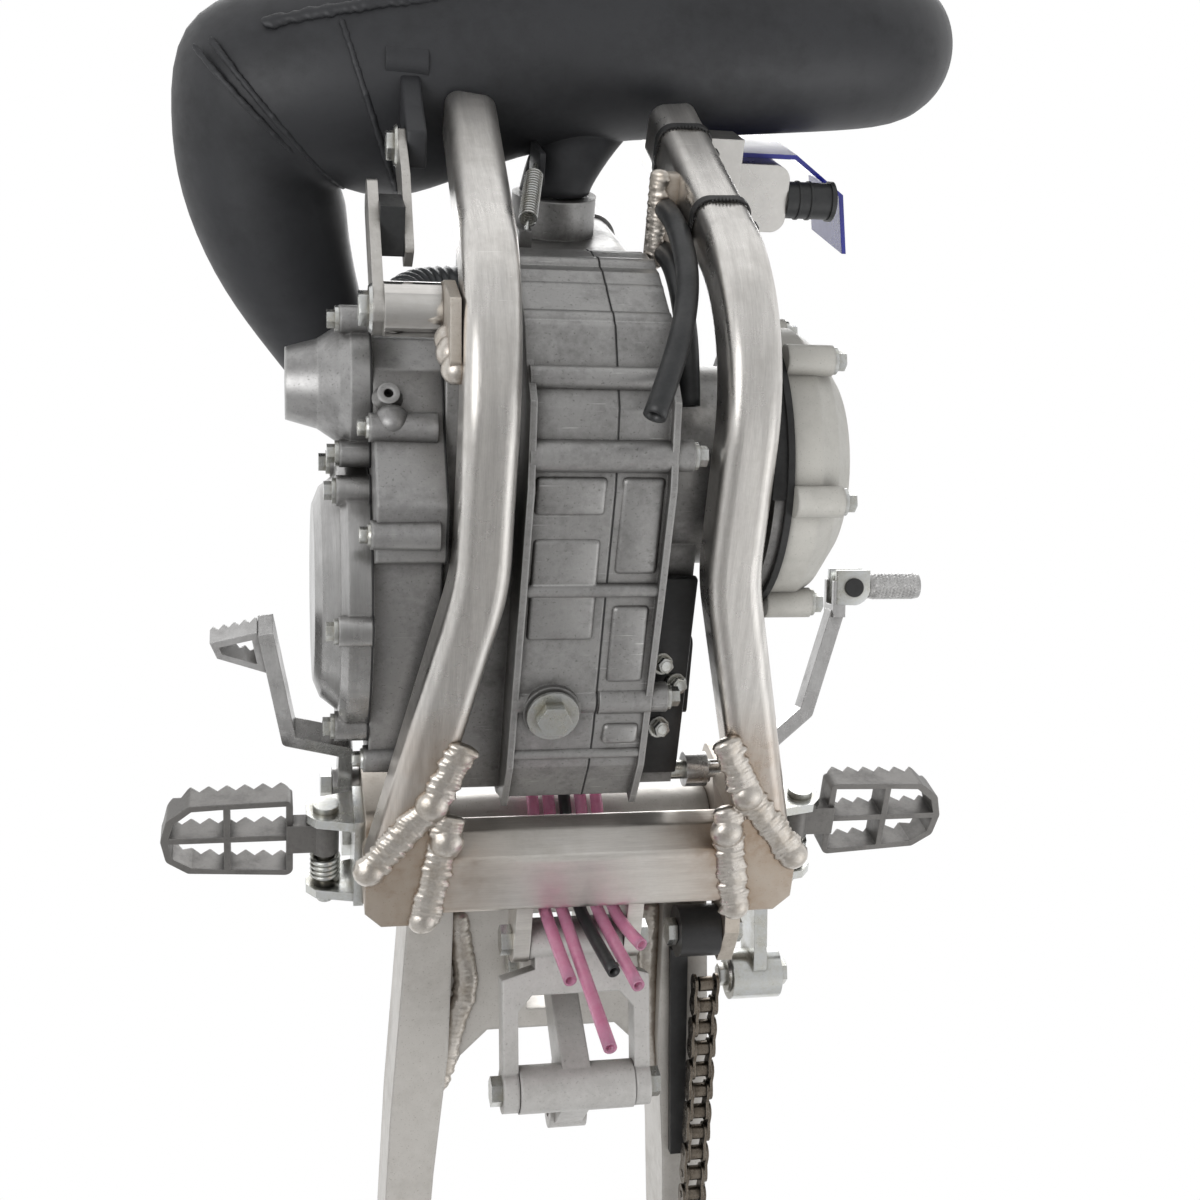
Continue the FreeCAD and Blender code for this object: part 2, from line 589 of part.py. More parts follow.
# Footpegs: an open serrated platform on a hinge barrel
rim = "peg_rim"
peg_outline = [
    ("peg_root", "peg_front"), ("peg_root", "peg_back"), ("peg_tip - 16", "peg_back - 4"),
    ("peg_tip - 3", "peg_back - 13"), ("peg_tip", "peg_mid"), ("peg_tip - 4", "peg_front + 12"),
    ("peg_tip - 17", "peg_front + 2"),
]
web = "(peg_root + peg_tip) / 2"
peg_windows = [
    [(f"peg_root + {rim}", f"peg_front + {rim}"), (f"{web} - 2", f"peg_front + {rim} + 1"),
     (f"{web} - 2", "peg_mid - 2"),
     (f"peg_root + {rim}", "peg_mid - 2")],
    [(f"{web} + 2", f"peg_front + {rim} + 1"), ("peg_tip - 19", f"peg_front + {rim} + 2"),
     ("peg_tip - 8", "peg_front + 15"), ("peg_tip - 5", "peg_mid - 2"), (f"{web} + 2", "peg_mid - 2")],
    [(f"peg_root + {rim}", "peg_mid + 2"), (f"{web} - 2", "peg_mid + 2"),
     (f"{web} - 2", f"peg_back - {rim} - 2"),
     (f"peg_root + {rim}", f"peg_back - {rim}")],
    [(f"{web} + 2", "peg_mid + 2"), ("peg_tip - 5", "peg_mid + 2"), ("peg_tip - 7", "peg_back - 15"),
     ("peg_tip - 18", f"peg_back - {rim} - 4"), (f"{web} + 2", f"peg_back - {rim} - 2")],
]
peg_ring = plate("peg_ring", "XY", peg_outline, "peg_tall", "peg_base", "5", windows=peg_windows)
peg_top = "peg_base + peg_tall"
teeth = 8
comb = [("peg_root - 4", f"{peg_top} + 6")]
for i in range(teeth):
    comb += [(f"peg_root - 4 + {i} * tooth_pitch", f"{peg_top} + 0.5"),
             (f"peg_root - 4 + {i + 0.5} * tooth_pitch", f"{peg_top} - tooth_deep")]
comb += [(f"peg_root - 4 + {teeth} * tooth_pitch", f"{peg_top} + 0.5"),
         (f"peg_root - 4 + {teeth} * tooth_pitch", f"{peg_top} + 6")]
peg_comb = plate("peg_comb", "XZ", comb, "peg_back - peg_front + 20", "-peg_back - 10")
peg_arm = block("peg_arm", ("peg_root - peg_pin_x + 4", "20", "13"),
                ("peg_pin_x", "peg_mid - 10", "peg_pin_z - 6.5"))
barrel_y = "ear_front + ear_thick + play"
peg_hinge = rod("peg_hinge", "peg_barrel", f"24", ("peg_pin_x", barrel_y, "peg_pin_z"), "y")
peg_bore = rod("peg_bore", "peg_pin + fit", "60", ("peg_pin_x", "-20", "peg_pin_z"), "y")
left_peg = remove("left_peg", join("peg_solid", peg_ring, peg_arm, peg_hinge), peg_comb, peg_bore)
keep("left_footpeg", left_peg)
keep("right_footpeg", mirrored("right_peg", left_peg))

# Peg brackets, pins and springs, one of each a side
ear_outline = [("plate_out + bracket_thick", "peg_pin_z - 18"), ("peg_pin_x + 6", "peg_pin_z - 13"),
               ("peg_pin_x + 12", "peg_pin_z - 6"), ("peg_pin_x + 12", "peg_pin_z + 6"),
               ("peg_pin_x + 6", "peg_pin_z + 13"), ("plate_out + bracket_thick", "peg_pin_z + 20")]
ear_hole = [(("peg_pin_x", "peg_pin_z"), "peg_pin")]
front_ear = plate("front_ear", "XZ", ear_outline, "ear_thick", "-ear_front - ear_thick", holes=ear_hole)
back_ear = plate("back_ear", "XZ", ear_outline, "ear_thick", "-ear_back - ear_thick", holes=ear_hole)
base_plate = block("base_plate", ("bracket_thick", "ear_back + ear_thick - ear_front + 4", "42"),
                   ("plate_out", "ear_front - 2", "peg_pin_z - 20"))
bracket = join("bracket", base_plate, front_ear, back_ear)
keep("peg_brackets", group("brackets", bracket, mirrored("far_bracket", bracket)))
pin = join("pin", rod("pin_shank", "peg_pin", "ear_back - ear_front + ear_thick + 9",
                      ("peg_pin_x", "ear_front", "peg_pin_z"), "y"),
           rod("pin_head", "peg_pin + 3", "4", ("peg_pin_x", "ear_front - 4", "peg_pin_z"), "y"))
keep("peg_pins", group("pins", pin, mirrored("far_pin", pin)))
turns = 5
coil = [("0", "coil_radius - coil_wire")]
for i in range(turns):
    coil += [(f"{i} * coil_wire", "coil_radius - 1.4"), (f"{i + 0.5} * coil_wire", "coil_radius")]
coil += [(f"{turns} * coil_wire", "coil_radius - 1.4"), (f"{turns} * coil_wire", "coil_radius - coil_wire")]
spring = turned("spring", coil, ("peg_pin_x", f"ear_back - {turns} * coil_wire", "peg_pin_z"), "y")
keep("peg_springs", group("springs", spring, mirrored("far_spring", spring)))

# Brake pedal: a flat bar with a crank in it, tilted about its pivot, with a serrated tip
brake_route = [("-brake_x", "0"), ("-brake_x", "-37"), ("-brake_out", "-48"),
               ("-brake_end_x", "-brake_long")]
brake_face = [("-brake_x - brake_bar / 2", "-brake_tall / 2"),
              ("-brake_x + brake_bar / 2", "-brake_tall / 2"),
              ("-brake_x + brake_bar / 2", "brake_tall / 2"),
              ("-brake_x - brake_bar / 2", "brake_tall / 2")]
brake_bar = bar("brake_bar_body", brake_route, "XZ", brake_face, "0")
boss_long = "brake_x + 7.5 - plate_out - play"
brake_boss = rod("brake_boss_rod", "brake_boss", boss_long, ("-brake_x - 7.5", "0", "0"))
brake = remove("brake", join("brake_solid", brake_bar, brake_boss),
               rod("brake_bore", "brake_bolt + fit", "60", ("-brake_x - 30", "0", "0")))
keep("brake_pedal", tilted(brake, "brake_tilt", ("0", "brake_y", "brake_z")))
lean = "(brake_end_x - brake_out) / (brake_long - 48)"
tip_x = "-brake_end_x - brake_bar / 2 - 0.3"
tip_outline = [(f"{tip_x} + 32 * {lean}", "-brake_long + 32"), (tip_x, "-brake_long"),
               ("-brake_end_x - 32", "-brake_long + 8"),
               ("-brake_end_x - 28", "-brake_long + 20")]
tip_window = [(f"{tip_x} - 4 + 25 * {lean}", "-brake_long + 25"),
              (f"{tip_x} - 4 + 6 * {lean}", "-brake_long + 6"),
              ("-brake_end_x - 27", "-brake_long + 11.5"), ("-brake_end_x - 25", "-brake_long + 17")]
tip_ring = plate("tip_ring", "XY", tip_outline, "14", "-7", windows=[tip_window])
tip_comb = [("-brake_end_x - 40", "12")]
for i in range(6):
    tip_comb += [(f"-brake_end_x - 36 + {i * 6}", "7.5"), (f"-brake_end_x - 33 + {i * 6}", "3.5")]
tip_comb += [("-brake_end_x", "7.5"), ("-brake_end_x", "12")]
tip = remove("tip", tip_ring, plate("tip_comb_plate", "XZ", tip_comb, "60", "brake_long - 40"))
keep("brake_tip", tilted(tip, "brake_tilt", ("0", "brake_y", "brake_z")))
brake_end = "brake_x + 7.5 + play"
keep("brake_pivot_bolt", join("brake_bolt_solid",
                              rod("brake_shank", "brake_bolt", f"{brake_end} - plate_in",
                                  (f"-({brake_end})", "brake_y", "brake_z")),
                              hexagon("brake_head", "10", "7",
                                      (f"-({brake_end}) - 7", "brake_y", "brake_z"))))

# Shift lever: a cranked bar clamped on its shaft, with a fork that holds the folding tip
keep("shift_shaft", rod("shift_rod", "shift_shaft", "26", ("case_left + 26", "shift_y", "shift_z")))
shift_route = [("80", "0"), ("100", "0"), ("122", "-14"), ("148", "-36"),
               ("shift_pin_x - 9", "-shift_pin_y + 16")]
shift_face = [("-shift_bar / 2", "-shift_tall / 2"), ("shift_bar / 2", "-shift_tall / 2"),
              ("shift_bar / 2", "shift_tall / 2"),
              ("-shift_bar / 2", "shift_tall / 2")]
shift_bar = bar("shift_bar_body", shift_route, "YZ", shift_face, "80")
clamp = rod("clamp", "shift_boss", "14", ("69", "0", "0"))
fork_back = block("fork_back", ("8", "8", "18"), ("shift_pin_x - 13", "-shift_pin_y + 11", "-9"))
fork = [fork_back]
for level in ("5", "-9"):
    fork.append(rod("fork_disc", "10.5", "4", ("shift_pin_x", "-shift_pin_y", level), "z"))
    fork.append(block("fork_cheek", ("8", "20", "4"), ("shift_pin_x - 13", "-shift_pin_y - 4", level)))
lever = remove("lever", join("lever_solid", shift_bar, clamp, *fork),
               rod("lever_bore", "shift_shaft", "40", ("60", "0", "0")),
               rod("fork_bore", "shift_pin", "40", ("shift_pin_x", "-shift_pin_y", "-20"), "z"))
keep("shift_lever", tilted(lever, "-shift_tilt", ("0", "shift_y", "shift_z")))
tang = join("tang", rod("tang_eye", "8", "10 - 2 * play", ("shift_pin_x", "-shift_pin_y", "play - 5"), "z"),
            block("tang_bar", ("14", "10", "10 - 2 * play"),
                  ("shift_pin_x", "-shift_pin_y - 5", "play - 5")),
            rod("grip", "shift_grip", "shift_end - shift_pin_x - 12",
                ("shift_pin_x + 12", "-shift_pin_y", "0")))
toe = remove("toe", tang, rod("toe_bore", "shift_pin + fit", "40", ("shift_pin_x", "-shift_pin_y", "-20"),
                              "z"))
keep("shift_tip", tilted(toe, "-shift_tilt", ("0", "shift_y", "shift_z")))
toe_pin = join("toe_pin", rod("toe_pin_shank", "shift_pin", "18", ("shift_pin_x", "-shift_pin_y", "-9"),
                              "z"),
               rod("toe_pin_head", "6", "2.5", ("shift_pin_x", "-shift_pin_y", "-11.5"), "z"))
keep("shift_tip_pin", tilted(toe_pin, "-shift_tilt", ("0", "shift_y", "shift_z")))

# Crankcase halves: one side profile for the belly, narrower uppers that clear the rails
belly = [
    ("cylinder_front - 11", "case_top - 18"), ("cylinder_front - 21", "140"),
    ("cylinder_front - 19", "crank_z"),
    ("cylinder_front - 1", "55"), ("-288", "belly_z + 8"), ("-244", "belly_z - 1"), ("-180", "belly_z"),
    ("-90", "belly_z"), ("-62", "belly_z + 4"), ("-34", "belly_z + 16"), ("-26", "shift_z"), ("-26", "90"),
    ("-48", "132"), ("-110", "case_top - 8"), ("-200", "case_top"), ("cylinder_front + 15", "case_top"),
]
fin = [("-330", "72"), ("-294", "belly_z + 2"), ("-246", "belly_z - 8"), ("-178", "belly_z - 6"),
       ("-64", "belly_z"), ("-30", "belly_z + 12"), ("-40", "60"), ("-180", "44"), ("-282", "54")]
upper = [("-286", "72"), ("-200", "44"), ("-60", "44"), ("-34", "46"), ("-26", "60"), ("-26", "90"),
         ("-48", "132"),
         ("-110", "170"), ("-200", "184"), ("-300", "180"), ("-298", "120")]
crank_at = ("crank_y", "crank_z")
boss_spots = [("-262", "belly_z + 5"), ("-108", "belly_z + 6"), ("-322", "66")]
left_bits = [
    plate("left_belly", "YZ", belly, "case_left", "0", "4"),
    plate("left_fin", "YZ", fin, "4", "case_left - 4"),
    rod("left_drum", "60", "mag_face - gasket - case_left", ("case_left",) + crank_at),
    rod("left_flange", "mag_radius", "6", ("mag_face - gasket - 6",) + crank_at),
    plate("left_gearbox", "YZ", [("-200", "50"), ("-60", "46"), ("-34", "46"), ("-26", "60"), ("-26", "90"),
                                 ("-48", "132"), ("-110", "170"), ("-200", "180")], "26", "case_left"),
]
right_bits = [
    plate("right_belly", "YZ", belly, "case_right", "-case_right", "4"),
    plate("right_fin", "YZ", fin, "4", "-case_right"),
    plate("right_upper", "YZ", upper, "cover_face - case_right", "-cover_face"),
    block("spring_lug", ("8", "16", "12"), ("-38", "cylinder_front - 24", "case_top - 24")),
]
for i, spot in enumerate(boss_spots):
    reach = "44" if i < 2 else "case_left"
    left_bits.append(rod(f"left_boss{i}", "boss_radius", reach, ("0",) + spot))
    right_bits.append(rod(f"right_boss{i}", "boss_radius", "case_right", ("-case_right",) + spot))
for i, spot in enumerate([("-334", "150"), ("-338", "118"), ("-330", "92")]):
    left_bits.append(rod(f"left_rib{i}", "10", "case_left", ("0",) + spot))
    right_bits.append(rod(f"right_rib{i}", "10", "case_right", ("-case_right",) + spot))
right_bits.append(rod("drain_boss", "17", "20", ("drain_x", "drain_y", "belly_z - 4"), "z"))
keep("left_crankcase", join("left_case", *left_bits))
keep("right_crankcase", join("right_case", *right_bits))
drain = turned("drain", [("0", "0"), ("0", "14"), ("3", "14"), ("4", "12"), ("4", "0")],
               ("drain_x", "drain_y", "0"))
drain.Placement = FreeCAD.Placement(V(), FreeCAD.Rotation(V(0, 1, 0), 90))
put(drain, ("drain_x", "drain_y", "belly_z - 4"))
keep("drain_plug", join("drain_solid", drain, hexagon("drain_hex", "10.5", "8",
                                                      ("drain_x", "drain_y", "belly_z - 16"), "z")))

# Right case cover with the clutch and water pump covers on it
cover_outline = [
    ("-298", "112"), ("-300", "150"), ("-284", "178"), ("-180", "188"), ("-70", "182"), ("-42", "140"),
    ("-42", "66"),
    ("-62", "44"), ("-188", "42"), ("-196", "24"), ("-230", "26"), ("-258", "58"), ("-288", "86"),
]
case_cover = plate("case_cover", "YZ", cover_outline, "clutch_face - cover_face", "-clutch_face", "6")
keep("right_case_cover", case_cover)
clutch_disc = turned("clutch_disc", [
    ("0", "0"), ("0", "clutch_radius"), ("-14", "clutch_radius"), ("-18", "clutch_radius - 4"),
    ("-18", "clutch_radius - 12"), ("-clutch_deep + 4", "clutch_radius - 20"),
    ("-clutch_deep", "clutch_radius - 30"),
    ("-clutch_deep", "0")], ("-clutch_face", "clutch_y", "clutch_z"))
clutch_bits = [clutch_disc]
clutch_bolts = []
for i in range(6):
    angle = 20 + 60 * i
    y = f"clutch_y + (clutch_radius - 1) * {math.cos(math.radians(angle)):.5f}"
    z = f"clutch_z + (clutch_radius - 1) * {math.sin(math.radians(angle)):.5f}"
    clutch_bits.append(rod(f"clutch_boss{i}", "boss_radius", "20", ("-clutch_face - 20", y, z)))
    clutch_bolts.append(("-clutch_face - 20", y, z))
keep("clutch_cover", join("clutch", *clutch_bits))
pump_disc = turned("pump_disc", [
    ("0", "0"), ("0", "pump_radius"), ("-12", "pump_radius"), ("-18", "pump_radius - 6"),
    ("-30", "pump_radius - 14"),
    ("-48", "pump_radius - 19"), ("-48", "0")], ("-clutch_face", "pump_y", "pump_z"))
pump_bits = [pump_disc]
pump_bolts = []
for i in range(3):
    angle = 75 + 120 * i
    y = f"pump_y + (pump_radius + 4) * {math.cos(math.radians(angle)):.5f}"
    z = f"pump_z + (pump_radius + 4) * {math.sin(math.radians(angle)):.5f}"
    pump_bits.append(rod(f"pump_boss{i}", "boss_radius - 1", "18", ("-clutch_face - 18", y, z)))
    pump_bolts.append(("-clutch_face - 18", y, z))
pump_clear = rod("pump_clear", "clutch_radius + 0.3", "40", ("-clutch_face - 40", "clutch_y", "clutch_z"))
keep("water_pump_cover", remove("pump", join("pump_solid", *pump_bits), pump_clear))

# Magneto cover on its gasket
mag_disc = turned("mag_disc", [
    ("0", "0"), ("0", "mag_radius"), ("18", "mag_radius"), ("30", "mag_radius - 8"),
    ("mag_out - mag_face", "mag_radius - 26"),
    ("mag_out - mag_face", "0")], ("mag_face",) + crank_at)
mag_bits = [mag_disc]
mag_bolts = []
for angle in (205, 262, 318, 20, 80, 140):
    y = f"crank_y + (mag_radius + 4) * {math.cos(math.radians(angle)):.5f}"
    z = f"crank_z + (mag_radius + 4) * {math.sin(math.radians(angle)):.5f}"
    mag_bits.append(rod("mag_boss", "boss_radius", "28", ("mag_face", y, z)))
    mag_bolts.append(("mag_face + 28", y, z))
keep("magneto_cover", join("mag", *mag_bits))
keep("magneto_gasket", rod("gasket_disc", "mag_radius + 3", "gasket", ("mag_face - gasket",) + crank_at))

# Flange bolts: a washer face and a hexagon on each boss
bolt_bits = []
for i, spot in enumerate(mag_bolts + [("44",) + s for s in boss_spots[:2]]):
    bolt_bits.append(join(f"left_bolt{i}", rod("flange", "bolt_head + 2", "2.5", spot),
                          hexagon("hex", "bolt_head", "8", spot)))
for i, spot in enumerate(clutch_bolts + pump_bolts):
    bolt_bits.append(join(f"right_bolt{i}", rod("flange", "bolt_head + 1.5", "2.5",
                                                (f"{spot[0]} - 2.5", spot[1], spot[2])),
                          hexagon("hex", "bolt_head - 0.5", "7", (f"{spot[0]} - 7", spot[1], spot[2]))))
keep("flange_bolts", group("bolts", *bolt_bits))

# Cylinder with its head and exhaust flange, and the carburettor behind it
barrel = plate("barrel", "XY", [("-cylinder_half", "cylinder_front"), ("cylinder_half", "cylinder_front"),
                                ("cylinder_half", "cylinder_back"), ("-cylinder_half", "cylinder_back")],
               "cylinder_tall", "case_top", "14")
head = plate("head", "XY", [("-cylinder_half - 4", "cylinder_front - 2"),
                            ("cylinder_half + 4", "cylinder_front - 2"),
                            ("cylinder_half + 4", "cylinder_back + 4"),
                            ("-cylinder_half - 4", "cylinder_back + 4")],
             "head_tall", "case_top + cylinder_tall", "18")
plug_y = "(cylinder_front + cylinder_back) / 2"
head_top = "case_top + cylinder_tall + head_tall"
keep("cylinder", join("cylinder_solid", barrel, head,
                      rod("port", "port_radius", "25", ("0", "cylinder_front - 25", "port_z"), "y"),
                      taper("dome", "34", "20", "12", ("0", plug_y, head_top), "z"),
                      rod("spark_plug", "8", "40", ("0", plug_y, head_top), "z")))
carb_body = plate("carb_body", "XY", [("-28", "cylinder_back + 62"), ("28", "cylinder_back + 62"),
                                      ("28", "-96"), ("-28", "-96")],
                  "66", "carb_z - 34", "8")
keep("carburettor", join("carb", carb_body, rod("intake", "25", "70", ("0", "cylinder_back", "carb_z"),
                                                "y"),
                         rod("bell", "27", "34", ("0", "-96", "carb_z"), "y"),
                         block("bowl", ("48", "48", "26"), ("-24", "-148", "carb_z - 56"))))

# Sprocket guard on the left of the gearbox
guard_outline = [("-128", "60"), ("-78", "56"), ("-70", "74"), ("-84", "106"), ("-120", "110")]
keep("sprocket_guard", plate("guard", "YZ", guard_outline, "8", "case_left + 26", "5"))


# Expansion chamber: round sections along a looping centre line, with a stay and a spring tab
def chamber_rings(inset):
    y = size("pipe_y")
    z = size("pipe_z")
    r = size("pipe_radius")
    port = size("cylinder_front") - 25
    stations = [
        (0, port, size("port_z"), 24), (3, port - 16, size("port_z") + 2, 24.5), (28, y + 48, z, 26),
        (75, y + 22, z + 64, 29), (135, y + 6, z + 106, 32), (190, y + 2, z + 114, 36),
        (235, y, z + 92, 40),
        (250, y, z + 53, 45), (230, y - 1, z + 16, 50), (185, y - 2, z, 54), (100, y - 2, z - 2, r - 3),
        (0, y, z, r), (-100, y + 4, z + 4, r), (-166, y + 26, z + 6, r - 3), (-198, y + 66, z + 2, r - 9),
        (-200, y + 106, z - 4, r - 17), (-188, y + 150, z - 16, r - 28), (-172, y + 200, z - 30, r - 38),
        (-156, y + 262, z - 40, r - 45), (-144, y + 330, z - 38, r - 48),
    ]
    curve = Part.BSplineCurve()
    curve.interpolate(Points=[V(*s[:3]) for s in stations], InitialTangent=V(0, -1, 0),
                      FinalTangent=V(12, 68, 2))
    knots = [curve.parameter(V(*s[:3])) for s in stations]
    across = V(0, 0, 1)
    rings = []
    for i in range(2 * len(stations) - 1):
        low = i // 2
        high = (i + 1) // 2
        here = (knots[low] + knots[high]) / 2
        ahead = curve.tangent(here)[0]
        across = (across - ahead * (across * ahead)).normalize()
        ring = Part.Circle(curve.value(here), ahead, (stations[low][3] + stations[high][3]) / 2 - inset)
        ring.XAxis = across
        rings.append(Part.Wire(ring.toShape()))
    return rings


def chamber_shell():
    outer = chamber_rings(0)
    inner = chamber_rings(size("pipe_wall"))
    walls = Part.makeLoft(outer, False, True).Faces + Part.makeLoft(inner, False, True).Faces
    for end in (0, -1):
        walls += Part.Face(outer[end]).cut(Part.Face(inner[end])).Faces
    shell = Part.Shell(walls)
    shell.sewShape()
    solid = Part.Solid(shell)
    solid.fix(0.001, 0.001, 0.001)
    return solid


pipe_shell = feature("pipe_shell", chamber_shell())
pipe_bore = feature("pipe_bore", Part.makeLoft(chamber_rings(size("pipe_wall")), True, True))
stay = plate("stay", "YZ", [("-382", "178"), ("-392", "206"), ("-402", "270"), ("-440", "270"),
                            ("-412", "206"),
                            ("-404", "180")], "5", "-107", "3")
tab = block("tab", ("4", "20", "66"), ("-20", "-386", "222"))
keep("expansion_chamber", join("chamber_solid", pipe_shell, remove("stay_cut", stay, pipe_bore),
                               remove("tab_cut", tab, pipe_bore)))

# Pipe bracket on the right rail, with the spacer, plates and rubber that carry the stay
mount_at = ("mount_y", "mount_z")
loop_outline = [
    ("mount_y - 19", "34"), ("mount_y + 15", "20"), ("mount_y + 18", "mount_z - 12"),
    ("mount_y + 13", "mount_z + 10"),
    ("mount_y", "mount_z + 20"), ("mount_y - 13", "mount_z + 10"), ("mount_y - 20", "mount_z - 10"),
]
rail_side = "-rail_waist - rail_wide / 2"
keep("pipe_bracket", plate("loop", "YZ", loop_outline, "6", f"{rail_side} - 6", "3",
                           holes=[(mount_at, "6")]))
spacer = rod("spacer", "spacer_radius", "32", (f"{rail_side} - 38",) + mount_at)
outer_strap = plate("outer_strap", "YZ", [("mount_y + 18", "mount_z - 4"), ("mount_y - 4", "mount_z - 18"),
                                          ("-386", "144"), ("-364", "158")], "6",
                    f"{rail_side} - 44", "9")
strap_bolt = hexagon("strap_bolt", "10", "7", (f"{rail_side} - 51",) + mount_at)
inner_strap = plate("inner_strap", "YZ", [("-352", "104"), ("-338", "116"), ("-366", "158"),
                                          ("-384", "200"), ("-404", "192"),
                                          ("-386", "146")], "5", "-112", "4")
stay_bolt = hexagon("stay_bolt", "9", "6", ("-118", "-393", "188"))
keep("pipe_mount", group("mount_group", join("outer_set", spacer, outer_strap, strap_bolt),
                         join("inner_set", inner_strap, stay_bolt)))
keep("pipe_rubber", block("rubber", (f"-112 - ({rail_side} - 38)", "28", "32"),
                          (f"{rail_side} - 38", "-374", "112")))


# Pipe spring: a close coil with a hook at each end, hung between the crankcase lug and the pipe tab
def pipe_spring():
    low = V(-34, size("cylinder_front") - 24.9, size("case_top") - 26)
    high = V(-21.8, -378, 226)
    ahead = (high - low).normalize()
    coil = Part.makeCylinder(5, (high - low).Length - 20, low + ahead * 10, ahead)
    hooks = Part.makeCylinder(1.4, (high - low).Length, low, ahead)
    return coil.fuse(hooks)


keep("pipe_spring", feature("spring_coil", pipe_spring()))

# Radiator with its rail bracket, the shroud round it and the hose stub
core = plate("core", "XY", [("core_in", "core_front"), ("core_out", "core_front"),
                            ("core_out", "core_back"), ("core_in", "core_back")],
             "core_tall", "core_low", "10")
spigot = rod("spigot", "9", "16", ("core_out - 2", "core_back - 20", "core_low + 9"))
ear_x = "rail_crown + rail_wide / 2 + 1.2"
rail_ear = block("rail_ear", (f"core_in + 16 - ({ear_x})", "core_front + 12 - rail_top_y", "30"),
                 (ear_x, "rail_top_y", "core_low - 28"))
keep("radiator", join("radiator_solid", core, spigot, rail_ear))
t = "shroud_thick"
shroud_outline = [
    ("core_in + 2", f"core_front - {t}"), ("core_out + 10", f"core_front - {t}"),
    ("core_out + 46", "core_front + 22"),
    ("core_out + 54", "core_front + 62"), (f"core_out + 54 - {t}", "core_front + 62"),
    (f"core_out + 46 - {t}", "core_front + 23"), ("core_out + 9", "core_front"),
    ("core_in + 2", "core_front"),
]
keep("radiator_shroud", plate("shroud", "XY", shroud_outline, "shroud_tall", "shroud_low"))
keep("radiator_hose", remove("hose_stub", rod("stub", "12", "34",
                                              ("core_out", "core_back - 20", "core_low + 9")),
                             rod("stub_bore", "9", "40", ("core_out", "core_back - 20", "core_low + 9"))))


# Cable ties round the left down tube
def tie(share):
    route = rail_route(1)
    ahead = (route[3] - route[2]).normalize()
    spot = route[2] + (route[3] - route[2]) * share
    solid = []
    for grow in (1.6, 0.3):
        ring = rounded_wire(size("rail_wide") + 2 * grow, size("rail_tall") + 2 * grow,
                            size("rail_corner") + grow)
        ring.Placement = FreeCAD.Placement(spot, FreeCAD.Rotation(V(0, -1, 0), ahead))
        solid.append(Part.Face(ring).extrude(ahead * 5))
    return solid[0].cut(solid[1])


clip = block("hose_clip", ("15", "52", "9"), ("36.5", "-391", "146"))
keep("cable_ties", group("ties", feature("low_tie", tie(0.42)), feature("high_tie", tie(0.84)),
                         remove("clip_cut", clip, parts["left_rail"])))


# Hoses: round tubes along straight runs joined by tangent arcs
def hose(points, radius):
    points = [V(*p) for p in points]
    radii = []
    for before, corner_point, after in zip(points, points[1:], points[2:]):
        runs = ((before - corner_point).Length, (after - corner_point).Length)
        turn = math.pi - (before - corner_point).getAngle(after - corner_point)
        radii.append(0.45 * min(runs) / math.tan(turn / 2))
    wire = route_wire(points, radii)
    ring = Part.Wire(Part.Circle(points[0], points[1] - points[0], radius).toShape())
    tube = wire.makePipeShell([ring], True, False)
    expected = math.pi * radius ** 2 * wire.Length
    print("hose", round(wire.Length, 1), [round(r) for r in radii], round(tube.Volume / expected, 4))
    return tube


bowl_rear = -100
drains = {
    "drain_hose_a": (-21, -15.5, -52), "drain_hose_b": (-10.5, -3, -112), "drain_hose_c": (10.5, 24, -60),
    "drain_hose_d": (21, 34, -22), "black_drain_hose": (0, 12, -46),
}
for node, (x, end_x, end_z) in drains.items():
    way = [(x, bowl_rear, 218), (x, -74, 218), (x, -42, 196), (x, -22, 156), (x, -14, 112), (x, -2, 78),
           (x, 20, 56),
           (x + (end_x - x) * 0.1, 38, 34), (x + (end_x - x) * 0.3, 41.5, 4), (end_x, 40, end_z)]
    keep(node, feature(node + "_tube", hose(way, size("hose_radius"))))
breathers = {
    "breather_hose_a": [(44, -372, 146), (44, -372, 122), (44, -364, 94), (42, -351, 64), (34, -334, 34),
                        (23, -315, 10),
                        (12, -296, -8)],
    "breather_hose_b": [(46, -346, 146), (46, -346, 122), (46, -337, 97), (46, -321, 75), (46, -303, 60),
                        (46, -282, 50)],
}
for node, way in breathers.items():
    keep(node, feature(node + "_tube", hose(way, size("breather_radius"))))

doc.recompute()
bad = [o.Label for o in doc.Objects if "Invalid" in o.State or "Error" in o.State]
bad += [node for node, o in parts.items() if o.Shape.isNull() or not o.Shape.isValid() or o.Shape.Volume <= 0]
if bad:
    raise SystemExit(f"these did not build: {bad}")
for node, thing in parts.items():
    thing.Shape.exportStep(f"parts/{node}.step")
print(len(parts), "parts written")
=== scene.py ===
import json
import math
import random

import bmesh
import bpy
from mathutils import Matrix, Vector


